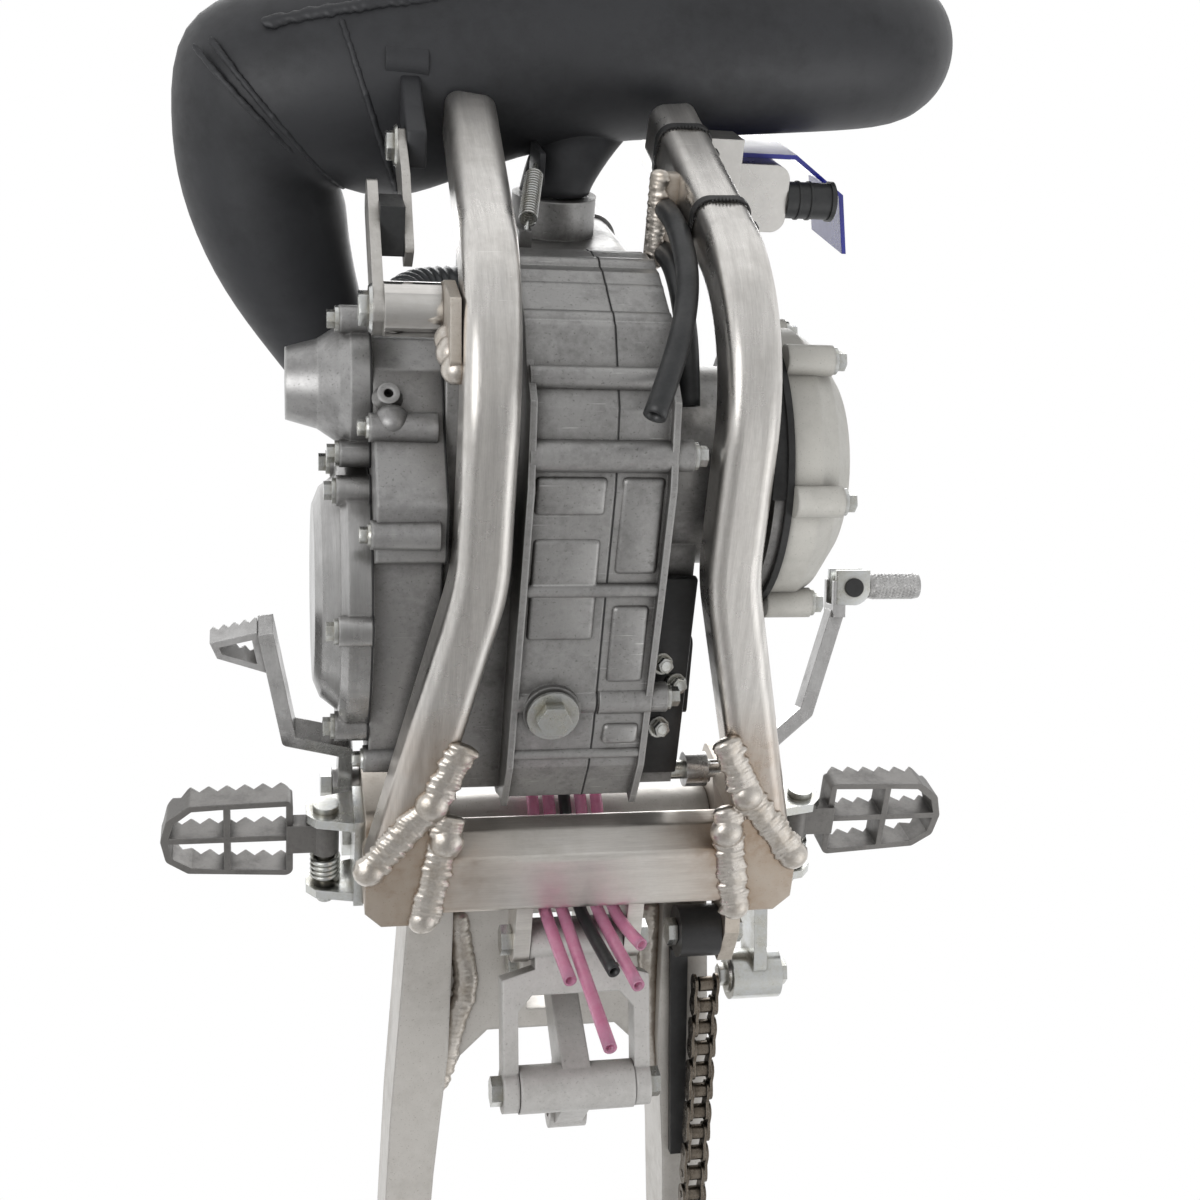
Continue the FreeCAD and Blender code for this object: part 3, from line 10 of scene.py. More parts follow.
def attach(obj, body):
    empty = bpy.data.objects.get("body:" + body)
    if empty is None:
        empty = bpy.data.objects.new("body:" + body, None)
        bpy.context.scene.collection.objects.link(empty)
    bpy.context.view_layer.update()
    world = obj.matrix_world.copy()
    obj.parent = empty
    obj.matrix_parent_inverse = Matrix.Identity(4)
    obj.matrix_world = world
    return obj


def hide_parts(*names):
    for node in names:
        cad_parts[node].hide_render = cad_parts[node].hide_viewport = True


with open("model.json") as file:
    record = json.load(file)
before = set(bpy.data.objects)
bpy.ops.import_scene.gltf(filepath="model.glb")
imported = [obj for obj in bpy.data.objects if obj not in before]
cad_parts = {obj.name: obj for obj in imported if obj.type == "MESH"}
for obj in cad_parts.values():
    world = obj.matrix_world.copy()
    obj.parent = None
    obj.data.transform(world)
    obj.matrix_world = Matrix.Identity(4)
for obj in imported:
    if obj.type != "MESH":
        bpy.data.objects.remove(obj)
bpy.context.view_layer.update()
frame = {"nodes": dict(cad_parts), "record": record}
cadNodes = frame["nodes"]
bodyOf = {node: body for body, members in frame["record"]["behaviour"]["bodies"].items() for node in members}
random.seed(11)
print("frame loaded:", len(cadNodes), "nodes")

# camera, set up from the lens and place found for the photograph
cameraSetup = {
    "place": (-0.1932, -0.5844, -0.8169),
    "right": (0.980, -0.082, -0.184),
    "ahead": (0.201, 0.431, 0.880),
    "lens": 49.77,
    "sensor": 36.0,
}


def placeCamera(setup):
    ahead = Vector(setup["ahead"]).normalized()
    right = Vector(setup["right"])
    right = (right - ahead * right.dot(ahead)).normalized()
    up = right.cross(ahead)
    turn = Matrix((right, up, -ahead)).transposed().to_4x4()
    data = bpy.data.cameras.new("studioCamera")
    data.lens = setup["lens"]
    data.sensor_width = setup["sensor"]
    data.sensor_fit = "HORIZONTAL"
    data.clip_start = 0.01
    camera = bpy.data.objects.new("studioCamera", data)
    camera.matrix_world = Matrix.Translation(setup["place"]) @ turn
    bpy.context.scene.collection.objects.link(camera)
    bpy.context.scene.camera = camera


placeCamera(cameraSetup)
bpy.context.scene.view_settings.view_transform = "Standard"
print("camera placed")


# node helpers
def addNode(tree, kind, feed=None, **settings):
    node = tree.nodes.new(kind)
    for key, value in settings.items():
        setattr(node, key, value)
    for key, value in (feed or {}).items():
        if isinstance(value, bpy.types.NodeSocket):
            tree.links.new(value, node.inputs[key])
        else:
            node.inputs[key].default_value = value
    return node


def calc(tree, operation, first, second=0.0, clamp=False):
    node = addNode(tree, "ShaderNodeMath", {0: first, 1: second}, operation=operation, use_clamp=clamp)
    return node.outputs[0]


def blendColour(tree, share, first, second):
    node = addNode(tree, "ShaderNodeMix", data_type="RGBA", blend_type="MIX")
    for slot, value in ((0, share), (6, first), (7, second)):
        if isinstance(value, bpy.types.NodeSocket):
            tree.links.new(value, node.inputs[slot])
        else:
            node.inputs[slot].default_value = value
    return node.outputs[2]


def remap(tree, value, low, high, toLow=0.0, toHigh=1.0):
    node = addNode(tree, "ShaderNodeMapRange", {0: value, 1: low, 2: high, 3: toLow, 4: toHigh}, clamp=True)
    return node.outputs[0]


def noiseAt(tree, vector, scale, detail=3.0, rough=0.55):
    return addNode(tree, "ShaderNodeTexNoise",
                   {"Vector": vector, "Scale": scale, "Detail": detail, "Roughness": rough}).outputs[0]


def startGroup(name, inputs, outputs):
    group = bpy.data.node_groups.new(name, "ShaderNodeTree")
    for label, kind, value in inputs:
        socket = group.interface.new_socket(label, in_out="INPUT", socket_type="NodeSocket" + kind)
        socket.default_value = value
    for label, kind in outputs:
        group.interface.new_socket(label, in_out="OUTPUT", socket_type="NodeSocket" + kind)
    return group, group.nodes.new("NodeGroupInput"), group.nodes.new("NodeGroupOutput")


def objectPlace(tree):
    return addNode(tree, "ShaderNodeTexCoord").outputs["Object"]


# shared effects
def makeEdgeGroup():  # rounded edges, worn bright where they stand out, painted shade where they meet
    group, given, out = startGroup("roundedEdge", [("Radius", "Float", 0.001), ("Crevice", "Float", 0.006)],
                                   [("Normal", "Vector"), ("Edge", "Float"), ("Corner", "Float")])
    soft = addNode(group, "ShaderNodeBevel", {"Radius": given.outputs["Radius"]}, samples=2)
    flat = addNode(group, "ShaderNodeNewGeometry")
    match = addNode(group, "ShaderNodeVectorMath", {0: soft.outputs[0], 1: flat.outputs["Normal"]},
                    operation="DOT_PRODUCT")
    # ambient occlusion made into painted shade: the corner mask is higher in corners, creases and where parts
    # meet
    shade = addNode(group, "ShaderNodeAmbientOcclusion", {"Distance": given.outputs["Crevice"]}, samples=3)
    corner = remap(group, shade.outputs["AO"], 0.35, 0.95, 1.0, 0.0)
    bend = remap(group, match.outputs["Value"], 0.99, 0.86)
    edge = calc(group, "MULTIPLY", bend, calc(group, "SUBTRACT", 1.0, corner))
    group.links.new(soft.outputs[0], out.inputs["Normal"])
    group.links.new(edge, out.inputs["Edge"])
    group.links.new(corner, out.inputs["Corner"])
    return group


def makeMottleGroup():  # slow stains and cloudy tone
    group, given, out = startGroup("mottle", [("Scale", "Float", 30.0)],
                                   [("Tone", "Float"), ("Stain", "Float")])
    place = objectPlace(group)
    broad = noiseAt(group, place, given.outputs["Scale"], 5.0, 0.6)
    fine = noiseAt(group, place, calc(group, "MULTIPLY", given.outputs["Scale"], 7.0), 4.0, 0.65)
    mixed = calc(group, "ADD", calc(group, "MULTIPLY", broad, 0.65), calc(group, "MULTIPLY", fine, 0.35))
    tone = remap(group, mixed, 0.36, 0.64)
    stain = calc(group, "MULTIPLY", remap(group, broad, 0.52, 0.7), remap(group, fine, 0.42, 0.62))
    group.links.new(tone, out.inputs["Tone"])
    group.links.new(stain, out.inputs["Stain"])
    return group


def makeSkinGroup():  # sand cast skin
    group, given, out = startGroup("castSkin", [("Scale", "Float", 700.0)],
                                   [("Height", "Float"), ("Pit", "Float")])
    place = objectPlace(group)
    fine = noiseAt(group, place, given.outputs["Scale"], 3.0, 0.6)
    slow = noiseAt(group, place, calc(group, "MULTIPLY", given.outputs["Scale"], 0.12), 3.0, 0.5)
    height = calc(group, "ADD", calc(group, "MULTIPLY", fine, 0.6), calc(group, "MULTIPLY", slow, 0.8))
    group.links.new(height, out.inputs["Height"])
    group.links.new(remap(group, fine, 0.38, 0.3), out.inputs["Pit"])
    return group


def makeBrushGroup():  # drawn or brushed lines, stretched along one axis
    group, given, out = startGroup("brushLines",
                                   [("Stretch", "Vector", (1.0, 1.0, 1.0)), ("Scale", "Float", 600.0)],
                                   [("Height", "Float"), ("Tone", "Float")])
    drawn = addNode(group, "ShaderNodeVectorMath", {0: objectPlace(group), 1: given.outputs["Stretch"]},
                    operation="MULTIPLY")
    lines = noiseAt(group, drawn.outputs[0], given.outputs["Scale"], 4.0, 0.7)
    bands = noiseAt(group, drawn.outputs[0], calc(group, "MULTIPLY", given.outputs["Scale"], 0.15), 2.0, 0.5)
    tone = calc(group, "ADD", calc(group, "MULTIPLY", lines, 0.5), calc(group, "MULTIPLY", bands, 0.5))
    group.links.new(lines, out.inputs["Height"])
    group.links.new(remap(group, tone, 0.38, 0.62), out.inputs["Tone"])
    return group


def makeScratchGroup():  # sparse bright scuffs, two ways
    group, given, out = startGroup("scuffs", [("Scale", "Float", 60.0)], [("Mask", "Float")])
    place = objectPlace(group)
    masks = []
    for turn in ((0.5, 0.3, 0.9), (-0.7, 0.4, 0.2)):
        turned = addNode(group, "ShaderNodeMapping",
                         {"Vector": place, "Rotation": turn, "Scale": (0.5, 14.0, 14.0)})
        line = noiseAt(group, turned.outputs[0], given.outputs["Scale"], 2.0, 0.5)
        masks.append(remap(group, line, 0.7, 0.74))
    both = calc(group, "MAXIMUM", masks[0], masks[1])
    spread = remap(group, noiseAt(group, place, 24.0, 2.0), 0.5, 0.62)
    group.links.new(calc(group, "MULTIPLY", both, spread), out.inputs["Mask"])
    return group


edgeGroup = makeEdgeGroup()
mottleGroup = makeMottleGroup()
skinGroup = makeSkinGroup()
brushGroup = makeBrushGroup()
scratchGroup = makeScratchGroup()
print("shared effects built")


# one metal builder; each finish below is a dictionary of what a user would change
def rgb(*values):
    return tuple(values) + (1.0,)


def makeMetal(name, look):
    material = bpy.data.materials.new(name)
    material.use_nodes = True
    tree = material.node_tree
    shader = tree.nodes["Principled BSDF"]
    edge = addNode(tree, "ShaderNodeGroup", node_tree=edgeGroup)
    edge.inputs["Radius"].default_value = look.get("round", 0.001)
    edge.inputs["Crevice"].default_value = look.get("crevice", 0.007)
    mottle = addNode(tree, "ShaderNodeGroup", node_tree=mottleGroup)
    mottle.inputs["Scale"].default_value = look.get("mottle", 30.0)
    colour = blendColour(tree, mottle.outputs["Tone"], look["dark"], look["light"])
    height = None
    if "stretch" in look:
        brush = addNode(tree, "ShaderNodeGroup", node_tree=brushGroup)
        brush.inputs["Stretch"].default_value = look["stretch"]
        brush.inputs["Scale"].default_value = look.get("brush", 600.0)
        height = brush.outputs["Height"]
        streak = calc(tree, "MULTIPLY", brush.outputs["Tone"], look.get("streak", 0.25))
        colour = blendColour(tree, streak, colour, look["streakColour"])
    if "grain" in look:
        skin = addNode(tree, "ShaderNodeGroup", node_tree=skinGroup)
        skin.inputs["Scale"].default_value = look["grain"]
        height = skin.outputs["Height"]
        colour = blendColour(tree, calc(tree, "MULTIPLY", skin.outputs["Pit"], 0.5), colour, look["grimeAndShade"])
    # real stains from the mottle plus painted shade from ambient occlusion in corners, both pulled towards
    # one grime and shade colour
    stainAndShade = calc(tree, "ADD", calc(tree, "MULTIPLY", edge.outputs["Corner"], look.get("cornerShade", 0.6)),
                calc(tree, "MULTIPLY", mottle.outputs["Stain"], look.get("stain", 0.3)), clamp=True)
    colour = blendColour(tree, stainAndShade, colour, look["grimeAndShade"])
    if "scuff" in look:
        scuff = addNode(tree, "ShaderNodeGroup", node_tree=scratchGroup)
        scuff.inputs["Scale"].default_value = look.get("scuffScale", 60.0)
        share = calc(tree, "MULTIPLY", scuff.outputs["Mask"], look["scuff"])
        colour = blendColour(tree, share, colour, look["worn"])
    if "tint" in look:  # heat colour round the welded corners, the same on both sides
        across, along, up = addNode(tree, "ShaderNodeSeparateXYZ", {0: objectPlace(tree)}).outputs
        folded = addNode(tree, "ShaderNodeCombineXYZ",
                         {0: calc(tree, "ABSOLUTE", across), 1: along, 2: up}).outputs[0]
        reach = None
        for spot in look["tintSpots"]:
            far = addNode(tree, "ShaderNodeVectorMath", {0: folded, 1: spot}, operation="DISTANCE")
            far = far.outputs["Value"]
            reach = far if reach is None else calc(tree, "MINIMUM", reach, far)
        near = remap(tree, reach, look["tintReach"], 0.008)
        near = calc(tree, "MULTIPLY", near, remap(tree, mottle.outputs["Tone"], 0.1, 0.9, 0.25, 0.8))
        colour = blendColour(tree, near, colour, look["tint"])
    rubbed = calc(tree, "MULTIPLY", edge.outputs["Edge"], look.get("wear", 0.5))
    colour = blendColour(tree, rubbed, colour, look["worn"])
    tree.links.new(colour, shader.inputs["Base Color"])
    low, high = look["rough"]
    rough = calc(tree, "ADD", remap(tree, mottle.outputs["Tone"], 0.0, 1.0, high, low),
                 calc(tree, "MULTIPLY", stainAndShade, 0.25), clamp=True)
    tree.links.new(rough, shader.inputs["Roughness"])
    shader.inputs["Metallic"].default_value = look.get("metal", 1.0)
    if "coat" in look:
        shader.inputs["Coat Weight"].default_value = look["coat"]
        shader.inputs["Coat Roughness"].default_value = look.get("coatRough", 0.12)
    normal = edge.outputs["Normal"]
    if height is not None:
        bump = addNode(tree, "ShaderNodeBump", {"Height": height, "Strength": look.get("bump", 0.3),
                                                "Distance": look.get("relief", 0.0004), "Normal": normal})
        normal = bump.outputs[0]
    tree.links.new(normal, shader.inputs["Normal"])
    return material


# in each finish below, the corner weight sets how strongly painted shade darkens corners, and the grime
# colour serves stains, pits and that painted shade
cornerSpots = [(0.086, -0.07, 0.0), (0.104, -0.038, 0.0), (0.128, -0.008, 0.0), (0.091, -0.012, 0.0),
               (0.098, 0.026, 0.0)]
railSatin = makeMetal("railSatin", {
    "dark": rgb(0.60, 0.58, 0.55), "light": rgb(0.84, 0.82, 0.79), "worn": rgb(0.93, 0.92, 0.90),
    "grimeAndShade": rgb(0.17, 0.14, 0.11), "streakColour": rgb(0.36, 0.345, 0.33), "mottle": 14.0,
    "stretch": (16.0, 1.0, 1.0), "brush": 90.0, "streak": 0.4, "rough": (0.22, 0.40), "stain": 0.14,
    "cornerShade": 0.5, "scuff": 0.35, "wear": 0.5, "bump": 0.12, "tint": rgb(0.36, 0.25, 0.16),
    "tintSpots": cornerSpots, "tintReach": 0.05})
crossSatin = makeMetal("crossSatin", {
    "dark": rgb(0.66, 0.63, 0.585), "light": rgb(0.84, 0.815, 0.78), "worn": rgb(0.92, 0.91, 0.89),
    "grimeAndShade": rgb(0.20, 0.155, 0.12), "streakColour": rgb(0.42, 0.395, 0.37), "mottle": 18.0,
    "stretch": (1.0, 16.0, 16.0), "brush": 90.0, "streak": 0.35, "rough": (0.28, 0.46), "stain": 0.16,
    "cornerShade": 0.5, "scuff": 0.3, "wear": 0.5, "bump": 0.12, "tint": rgb(0.34, 0.23, 0.145),
    "tintSpots": cornerSpots, "tintReach": 0.055})
plateSatin = makeMetal("plateSatin", {
    "dark": rgb(0.47, 0.425, 0.37), "light": rgb(0.64, 0.595, 0.54), "worn": rgb(0.84, 0.82, 0.78),
    "grimeAndShade": rgb(0.14, 0.095, 0.06), "mottle": 26.0, "grain": 900.0, "bump": 0.12, "rough": (0.34, 0.52),
    "stain": 0.3, "cornerShade": 0.65, "wear": 0.45, "tint": rgb(0.28, 0.18, 0.105),
    "tintSpots": cornerSpots, "tintReach": 0.05})
weldBead = makeMetal("weldBead", {
    "dark": rgb(0.45, 0.405, 0.35), "light": rgb(0.72, 0.69, 0.65), "worn": rgb(0.90, 0.89, 0.87),
    "grimeAndShade": rgb(0.17, 0.12, 0.08), "mottle": 60.0, "grain": 1500.0, "bump": 0.12, "rough": (0.22, 0.40),
    "stain": 0.45, "cornerShade": 0.85, "wear": 0.2, "crevice": 0.004, "round": 0.0004})
castGrey = makeMetal("castGrey", {
    "dark": rgb(0.22, 0.217, 0.213), "light": rgb(0.385, 0.381, 0.375), "worn": rgb(0.74, 0.735, 0.725),
    "grimeAndShade": rgb(0.045, 0.042, 0.038), "mottle": 34.0, "grain": 620.0, "bump": 0.3, "rough": (0.30, 0.46),
    "stain": 0.4, "cornerShade": 0.9, "scuff": 0.5, "wear": 0.8, "round": 0.0016, "crevice": 0.014,
    "metal": 0.75})
coverGrey = makeMetal("coverGrey", {
    "dark": rgb(0.25, 0.247, 0.245), "light": rgb(0.41, 0.406, 0.402), "worn": rgb(0.74, 0.735, 0.725),
    "grimeAndShade": rgb(0.05, 0.047, 0.043), "mottle": 30.0, "grain": 700.0, "bump": 0.22, "rough": (0.27, 0.42),
    "stain": 0.3, "cornerShade": 0.9, "scuff": 0.3, "wear": 0.75, "round": 0.0024, "crevice": 0.012,
    "metal": 0.8})
clutchSatin = makeMetal("clutchSatin", {
    "dark": rgb(0.35, 0.346, 0.34), "light": rgb(0.54, 0.535, 0.53), "worn": rgb(0.78, 0.77, 0.76),
    "grimeAndShade": rgb(0.08, 0.075, 0.07), "streakColour": rgb(0.24, 0.237, 0.233), "mottle": 16.0,
    "stretch": (22.0, 1.0, 1.0), "brush": 80.0, "streak": 0.4, "rough": (0.20, 0.32), "stain": 0.12,
    "cornerShade": 0.7, "wear": 0.5, "bump": 0.1, "round": 0.002, "crevice": 0.012})
magnetoPaint = makeMetal("magnetoPaint", {
    "dark": rgb(0.42, 0.41, 0.38), "light": rgb(0.51, 0.50, 0.465), "worn": rgb(0.64, 0.63, 0.60),
    "grimeAndShade": rgb(0.12, 0.11, 0.095), "mottle": 24.0, "grain": 1100.0, "bump": 0.1, "rough": (0.4, 0.55),
    "metal": 0.1, "stain": 0.12, "cornerShade": 0.6, "wear": 0.35, "round": 0.003, "crevice": 0.012})
zincBolt = makeMetal("zincBolt", {
    "dark": rgb(0.52, 0.515, 0.465), "light": rgb(0.68, 0.70, 0.71), "worn": rgb(0.88, 0.89, 0.89),
    "grimeAndShade": rgb(0.13, 0.11, 0.07), "mottle": 70.0, "grain": 1600.0, "bump": 0.03, "rough": (0.16, 0.30),
    "stain": 0.2, "cornerShade": 0.75, "wear": 0.5, "round": 0.0007, "crevice": 0.005})
pegSteel = makeMetal("pegSteel", {
    "dark": rgb(0.125, 0.12, 0.115), "light": rgb(0.19, 0.184, 0.176), "worn": rgb(0.40, 0.39, 0.375),
    "grimeAndShade": rgb(0.035, 0.032, 0.03), "mottle": 50.0, "grain": 1300.0, "bump": 0.22, "rough": (0.38, 0.52),
    "stain": 0.25, "cornerShade": 0.7, "wear": 0.5, "round": 0.0012, "metal": 0.7})
pedalSatin = makeMetal("pedalSatin", {
    "dark": rgb(0.42, 0.415, 0.41), "light": rgb(0.60, 0.595, 0.59), "worn": rgb(0.86, 0.86, 0.85),
    "grimeAndShade": rgb(0.09, 0.082, 0.075), "streakColour": rgb(0.28, 0.275, 0.27), "mottle": 40.0,
    "stretch": (12.0, 1.0, 12.0), "brush": 90.0, "streak": 0.35, "rough": (0.18, 0.32), "stain": 0.15,
    "cornerShade": 0.6, "scuff": 0.3, "wear": 0.5, "bump": 0.1})
armSatin = makeMetal("armSatin", {
    "dark": rgb(0.45, 0.43, 0.40), "light": rgb(0.60, 0.58, 0.55), "worn": rgb(0.80, 0.785, 0.765),
    "grimeAndShade": rgb(0.15, 0.125, 0.10), "mottle": 16.0, "grain": 900.0, "bump": 0.1, "rough": (0.32, 0.48),
    "stain": 0.18, "cornerShade": 0.6, "wear": 0.4, "round": 0.003, "crevice": 0.012, "metal": 0.55})
linkCast = makeMetal("linkCast", {
    "dark": rgb(0.42, 0.41, 0.395), "light": rgb(0.55, 0.54, 0.525), "worn": rgb(0.78, 0.77, 0.76),
    "grimeAndShade": rgb(0.10, 0.09, 0.08), "mottle": 34.0, "grain": 800.0, "bump": 0.16, "rough": (0.36, 0.52),
    "stain": 0.2, "cornerShade": 0.8, "wear": 0.45, "round": 0.0025, "crevice": 0.014, "metal": 0.4})
strapSatin = makeMetal("strapSatin", {
    "dark": rgb(0.44, 0.425, 0.40), "light": rgb(0.58, 0.565, 0.54), "worn": rgb(0.84, 0.83, 0.81),
    "grimeAndShade": rgb(0.11, 0.10, 0.085), "mottle": 30.0, "grain": 1200.0, "bump": 0.08, "rough": (0.26, 0.42),
    "stain": 0.2, "cornerShade": 0.7, "wear": 0.55, "round": 0.001, "crevice": 0.008})
spacerPolish = makeMetal("spacerPolish", {
    "dark": rgb(0.62, 0.60, 0.57), "light": rgb(0.76, 0.745, 0.72), "worn": rgb(0.9, 0.89, 0.87),
    "grimeAndShade": rgb(0.12, 0.11, 0.10), "streakColour": rgb(0.40, 0.385, 0.365), "mottle": 20.0,
    "stretch": (1.0, 9.0, 9.0), "brush": 70.0, "streak": 0.2, "rough": (0.05, 0.12), "stain": 0.1,
    "cornerShade": 0.7, "wear": 0.3, "bump": 0.03})
chainSteel = makeMetal("chainSteel", {
    "dark": rgb(0.10, 0.082, 0.065), "light": rgb(0.26, 0.225, 0.185), "worn": rgb(0.62, 0.59, 0.54),
    "grimeAndShade": rgb(0.015, 0.013, 0.011), "mottle": 130.0, "grain": 1500.0, "bump": 0.06, "rough": (0.2, 0.34),
    "stain": 0.4, "cornerShade": 0.9, "wear": 0.7, "round": 0.0005, "crevice": 0.006})
tankBrushed = makeMetal("tankBrushed", {
    "dark": rgb(0.56, 0.545, 0.52), "light": rgb(0.70, 0.685, 0.66), "worn": rgb(0.9, 0.89, 0.87),
    "grimeAndShade": rgb(0.20, 0.18, 0.16), "streakColour": rgb(0.44, 0.43, 0.415), "mottle": 20.0,
    "stretch": (1.0, 1.0, 14.0), "brush": 80.0, "streak": 0.3, "rough": (0.24, 0.38), "stain": 0.1,
    "cornerShade": 0.5, "wear": 0.5, "bump": 0.08, "round": 0.0015})
pipeBlack = makeMetal("pipeBlack", {
    "dark": rgb(0.017, 0.0175, 0.0195), "light": rgb(0.031, 0.032, 0.0355), "worn": rgb(0.075, 0.076, 0.08),
    "grimeAndShade": rgb(0.008, 0.008, 0.009), "mottle": 12.0, "grain": 1500.0, "bump": 0.12, "rough": (0.44, 0.58),
    "metal": 0.25, "stain": 0.3, "cornerShade": 0.5, "wear": 0.3, "round": 0.0015})
plasticBlack = makeMetal("plasticBlack", {
    "dark": rgb(0.010, 0.010, 0.010), "light": rgb(0.021, 0.021, 0.022), "worn": rgb(0.08, 0.08, 0.08),
    "grimeAndShade": rgb(0.04, 0.036, 0.032), "mottle": 40.0, "grain": 1200.0, "bump": 0.14, "rough": (0.3, 0.46),
    "metal": 0.0, "stain": 0.25, "cornerShade": 0.15, "wear": 0.35})
rubberBlack = makeMetal("rubberBlack", {
    "dark": rgb(0.012, 0.013, 0.014), "light": rgb(0.026, 0.027, 0.028), "worn": rgb(0.07, 0.07, 0.073),
    "grimeAndShade": rgb(0.038, 0.036, 0.034), "mottle": 50.0, "grain": 1700.0, "bump": 0.1, "rough": (0.34, 0.5),
    "metal": 0.0, "stain": 0.3, "cornerShade": 0.1, "wear": 0.2})
hoseGrey = makeMetal("hoseGrey", {
    "dark": rgb(0.045, 0.048, 0.052), "light": rgb(0.10, 0.105, 0.11), "worn": rgb(0.26, 0.27, 0.28),
    "grimeAndShade": rgb(0.012, 0.012, 0.012), "mottle": 40.0, "grain": 1500.0, "bump": 0.08, "rough": (0.28, 0.42),
    "metal": 0.3, "stain": 0.2, "cornerShade": 0.7, "wear": 0.5, "crevice": 0.004})
gasketBlack = makeMetal("gasketBlack", {
    "dark": rgb(0.008, 0.008, 0.008), "light": rgb(0.018, 0.018, 0.018), "worn": rgb(0.04, 0.04, 0.04),
    "grimeAndShade": rgb(0.004, 0.004, 0.004), "mottle": 80.0, "grain": 1800.0, "bump": 0.1, "rough": (0.5, 0.7),
    "metal": 0.0, "stain": 0.2, "cornerShade": 0.2, "wear": 0.1})
shroudBlue = makeMetal("shroudBlue", {
    "dark": rgb(0.005, 0.008, 0.20), "light": rgb(0.008, 0.013, 0.30), "worn": rgb(0.03, 0.04, 0.42),
    "grimeAndShade": rgb(0.004, 0.005, 0.08), "mottle": 10.0, "grain": 1600.0, "bump": 0.04, "rough": (0.22, 0.34),
    "metal": 0.0, "stain": 0.1, "cornerShade": 0.4, "wear": 0.5, "round": 0.0012, "coat": 0.4})


def makeHoseClear(name, look):  # clear tinted hose
    material = bpy.data.materials.new(name)
    material.use_nodes = True
    tree = material.node_tree
    shader = tree.nodes["Principled BSDF"]
    mottle = addNode(tree, "ShaderNodeGroup", node_tree=mottleGroup)
    mottle.inputs["Scale"].default_value = look["mottle"]
    colour = blendColour(tree, mottle.outputs["Tone"], look["dark"], look["light"])
    tree.links.new(colour, shader.inputs["Base Color"])
    tree.links.new(remap(tree, mottle.outputs["Tone"], 0.0, 1.0, *look["rough"]), shader.inputs["Roughness"])
    shader.inputs["Transmission Weight"].default_value = look["clear"]
    shader.inputs["IOR"].default_value = 1.4
    return material


drainPink = makeHoseClear("drainPink", {
    "dark": rgb(0.84, 0.36, 0.56), "light": rgb(0.94, 0.54, 0.71), "mottle": 45.0, "rough": (0.06, 0.16),
    "clear": 0.6})
print("finishes built")

# finishes on the CAD nodes
nodeFinish = {
    railSatin: ["right_rail", "left_rail"],
    crossSatin: ["cross_tube", "linkage_bracket"],
    plateSatin: ["right_pivot_plate", "left_pivot_plate", "pipe_bracket"],
    weldBead: ["weld_beads"],
    castGrey: ["right_crankcase", "left_crankcase", "cylinder"],
    coverGrey: ["right_case_cover", "water_pump_cover", "carburettor"],
    clutchSatin: ["clutch_cover"],
    magnetoPaint: ["magneto_cover"],
    gasketBlack: ["magneto_gasket"],
    zincBolt: ["drain_plug", "flange_bolts", "swingarm_bolt", "link_front_bolt", "link_rear_bolt",
               "relay_pivot_bolt", "chain_roller_bolt", "stand_bracket", "peg_brackets", "peg_pins",
               "peg_springs", "brake_pivot_bolt", "shift_shaft", "pipe_spring"],
    strapSatin: ["pipe_mount"],
    pegSteel: ["right_footpeg", "left_footpeg"],
    pedalSatin: ["brake_pedal", "brake_tip", "shift_lever", "shift_tip"],
    armSatin: ["swingarm"],
    linkCast: ["link_arm", "relay_arm"],
    chainSteel: ["drive_chain"],
    plasticBlack: ["chain_guide", "chain_slider", "chain_roller", "sprocket_guard", "cable_ties",
                   "shift_tip_pin"],
    pipeBlack: ["expansion_chamber"],
    rubberBlack: ["pipe_rubber", "radiator_hose", "breather_hose_a", "breather_hose_b", "black_drain_hose"],
    tankBrushed: ["radiator"],
    shroudBlue: ["radiator_shroud"],
    drainPink: ["drain_hose_a", "drain_hose_b", "drain_hose_c", "drain_hose_d"],
}
for finish, members in nodeFinish.items():
    for node in members:
        cadNodes[node].data.materials.clear()
        cadNodes[node].data.materials.append(finish)
print("finishes on the nodes")

# hoses: the routes of the solids, as smooth curves
mm = 0.001
hoseSizes = {"drain": (0.004, 0.0012), "breather": (0.0065, 0.002)}  # radius and wall
drainHoses = {
    "drain_hose_a": {"start": -21, "end": -15.5, "low": -52, "length": 0.333, "finish": drainPink},
    "drain_hose_b": {"start": -10.5, "end": -3, "low": -112, "length": 0.393, "finish": drainPink},
    "drain_hose_c": {"start": 10.5, "end": 24, "low": -60, "length": 0.342, "finish": drainPink},
    "drain_hose_d": {"start": 21, "end": 34, "low": -22, "length": 0.305, "finish": drainPink},
    "black_drain_hose": {"start": 0, "end": 12, "low": -46, "length": 0.328, "finish": rubberBlack},
}
breatherHoses = {
    "breather_hose_a": {"length": 0.182, "points": [(44, -372, 146), (44, -372, 122), (44, -364, 94),
                                                    (42, -351, 64), (34, -334, 34), (23, -315, 10),
                                                    (12, -296, -8)]},
    "breather_hose_b": {"length": 0.124, "points": [(46, -346, 146), (46, -346, 122), (46, -337, 97),
                                                    (46, -321, 75), (46, -303, 60), (46, -282, 50)]},
}


def routeCurve(name, points, steps):  # smooth run led by the route's points
    curve = bpy.data.curves.new(name, "CURVE")
    curve.dimensions = "3D"
    spline = curve.splines.new("NURBS")
    spline.points.add(len(points) - 1)
    for knot, spot in zip(spline.points, points):
        knot.co = (spot[0] * mm, spot[1] * mm, spot[2] * mm, 1.0)
    spline.order_u = 3
    spline.use_endpoint_u = True
    spline.resolution_u = steps
    return curve


def hangHose(node, points, radius, wall, length, finish, slot, stiffness):
    curve = routeCurve(node + "Hose", points, 10)
    curve.bevel_depth = radius
    curve.bevel_resolution = 6
    curve.materials.append(finish)
    hose = bpy.data.objects.new(node + "Hose", curve)
    bpy.context.scene.collection.objects.link(hose)
    hollow = hose.modifiers.new("wall", "SOLIDIFY")  # open ends show the bore
    hollow.thickness = wall
    hollow.offset = -1.0
    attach(hose, bodyOf[node])
    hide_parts(node)


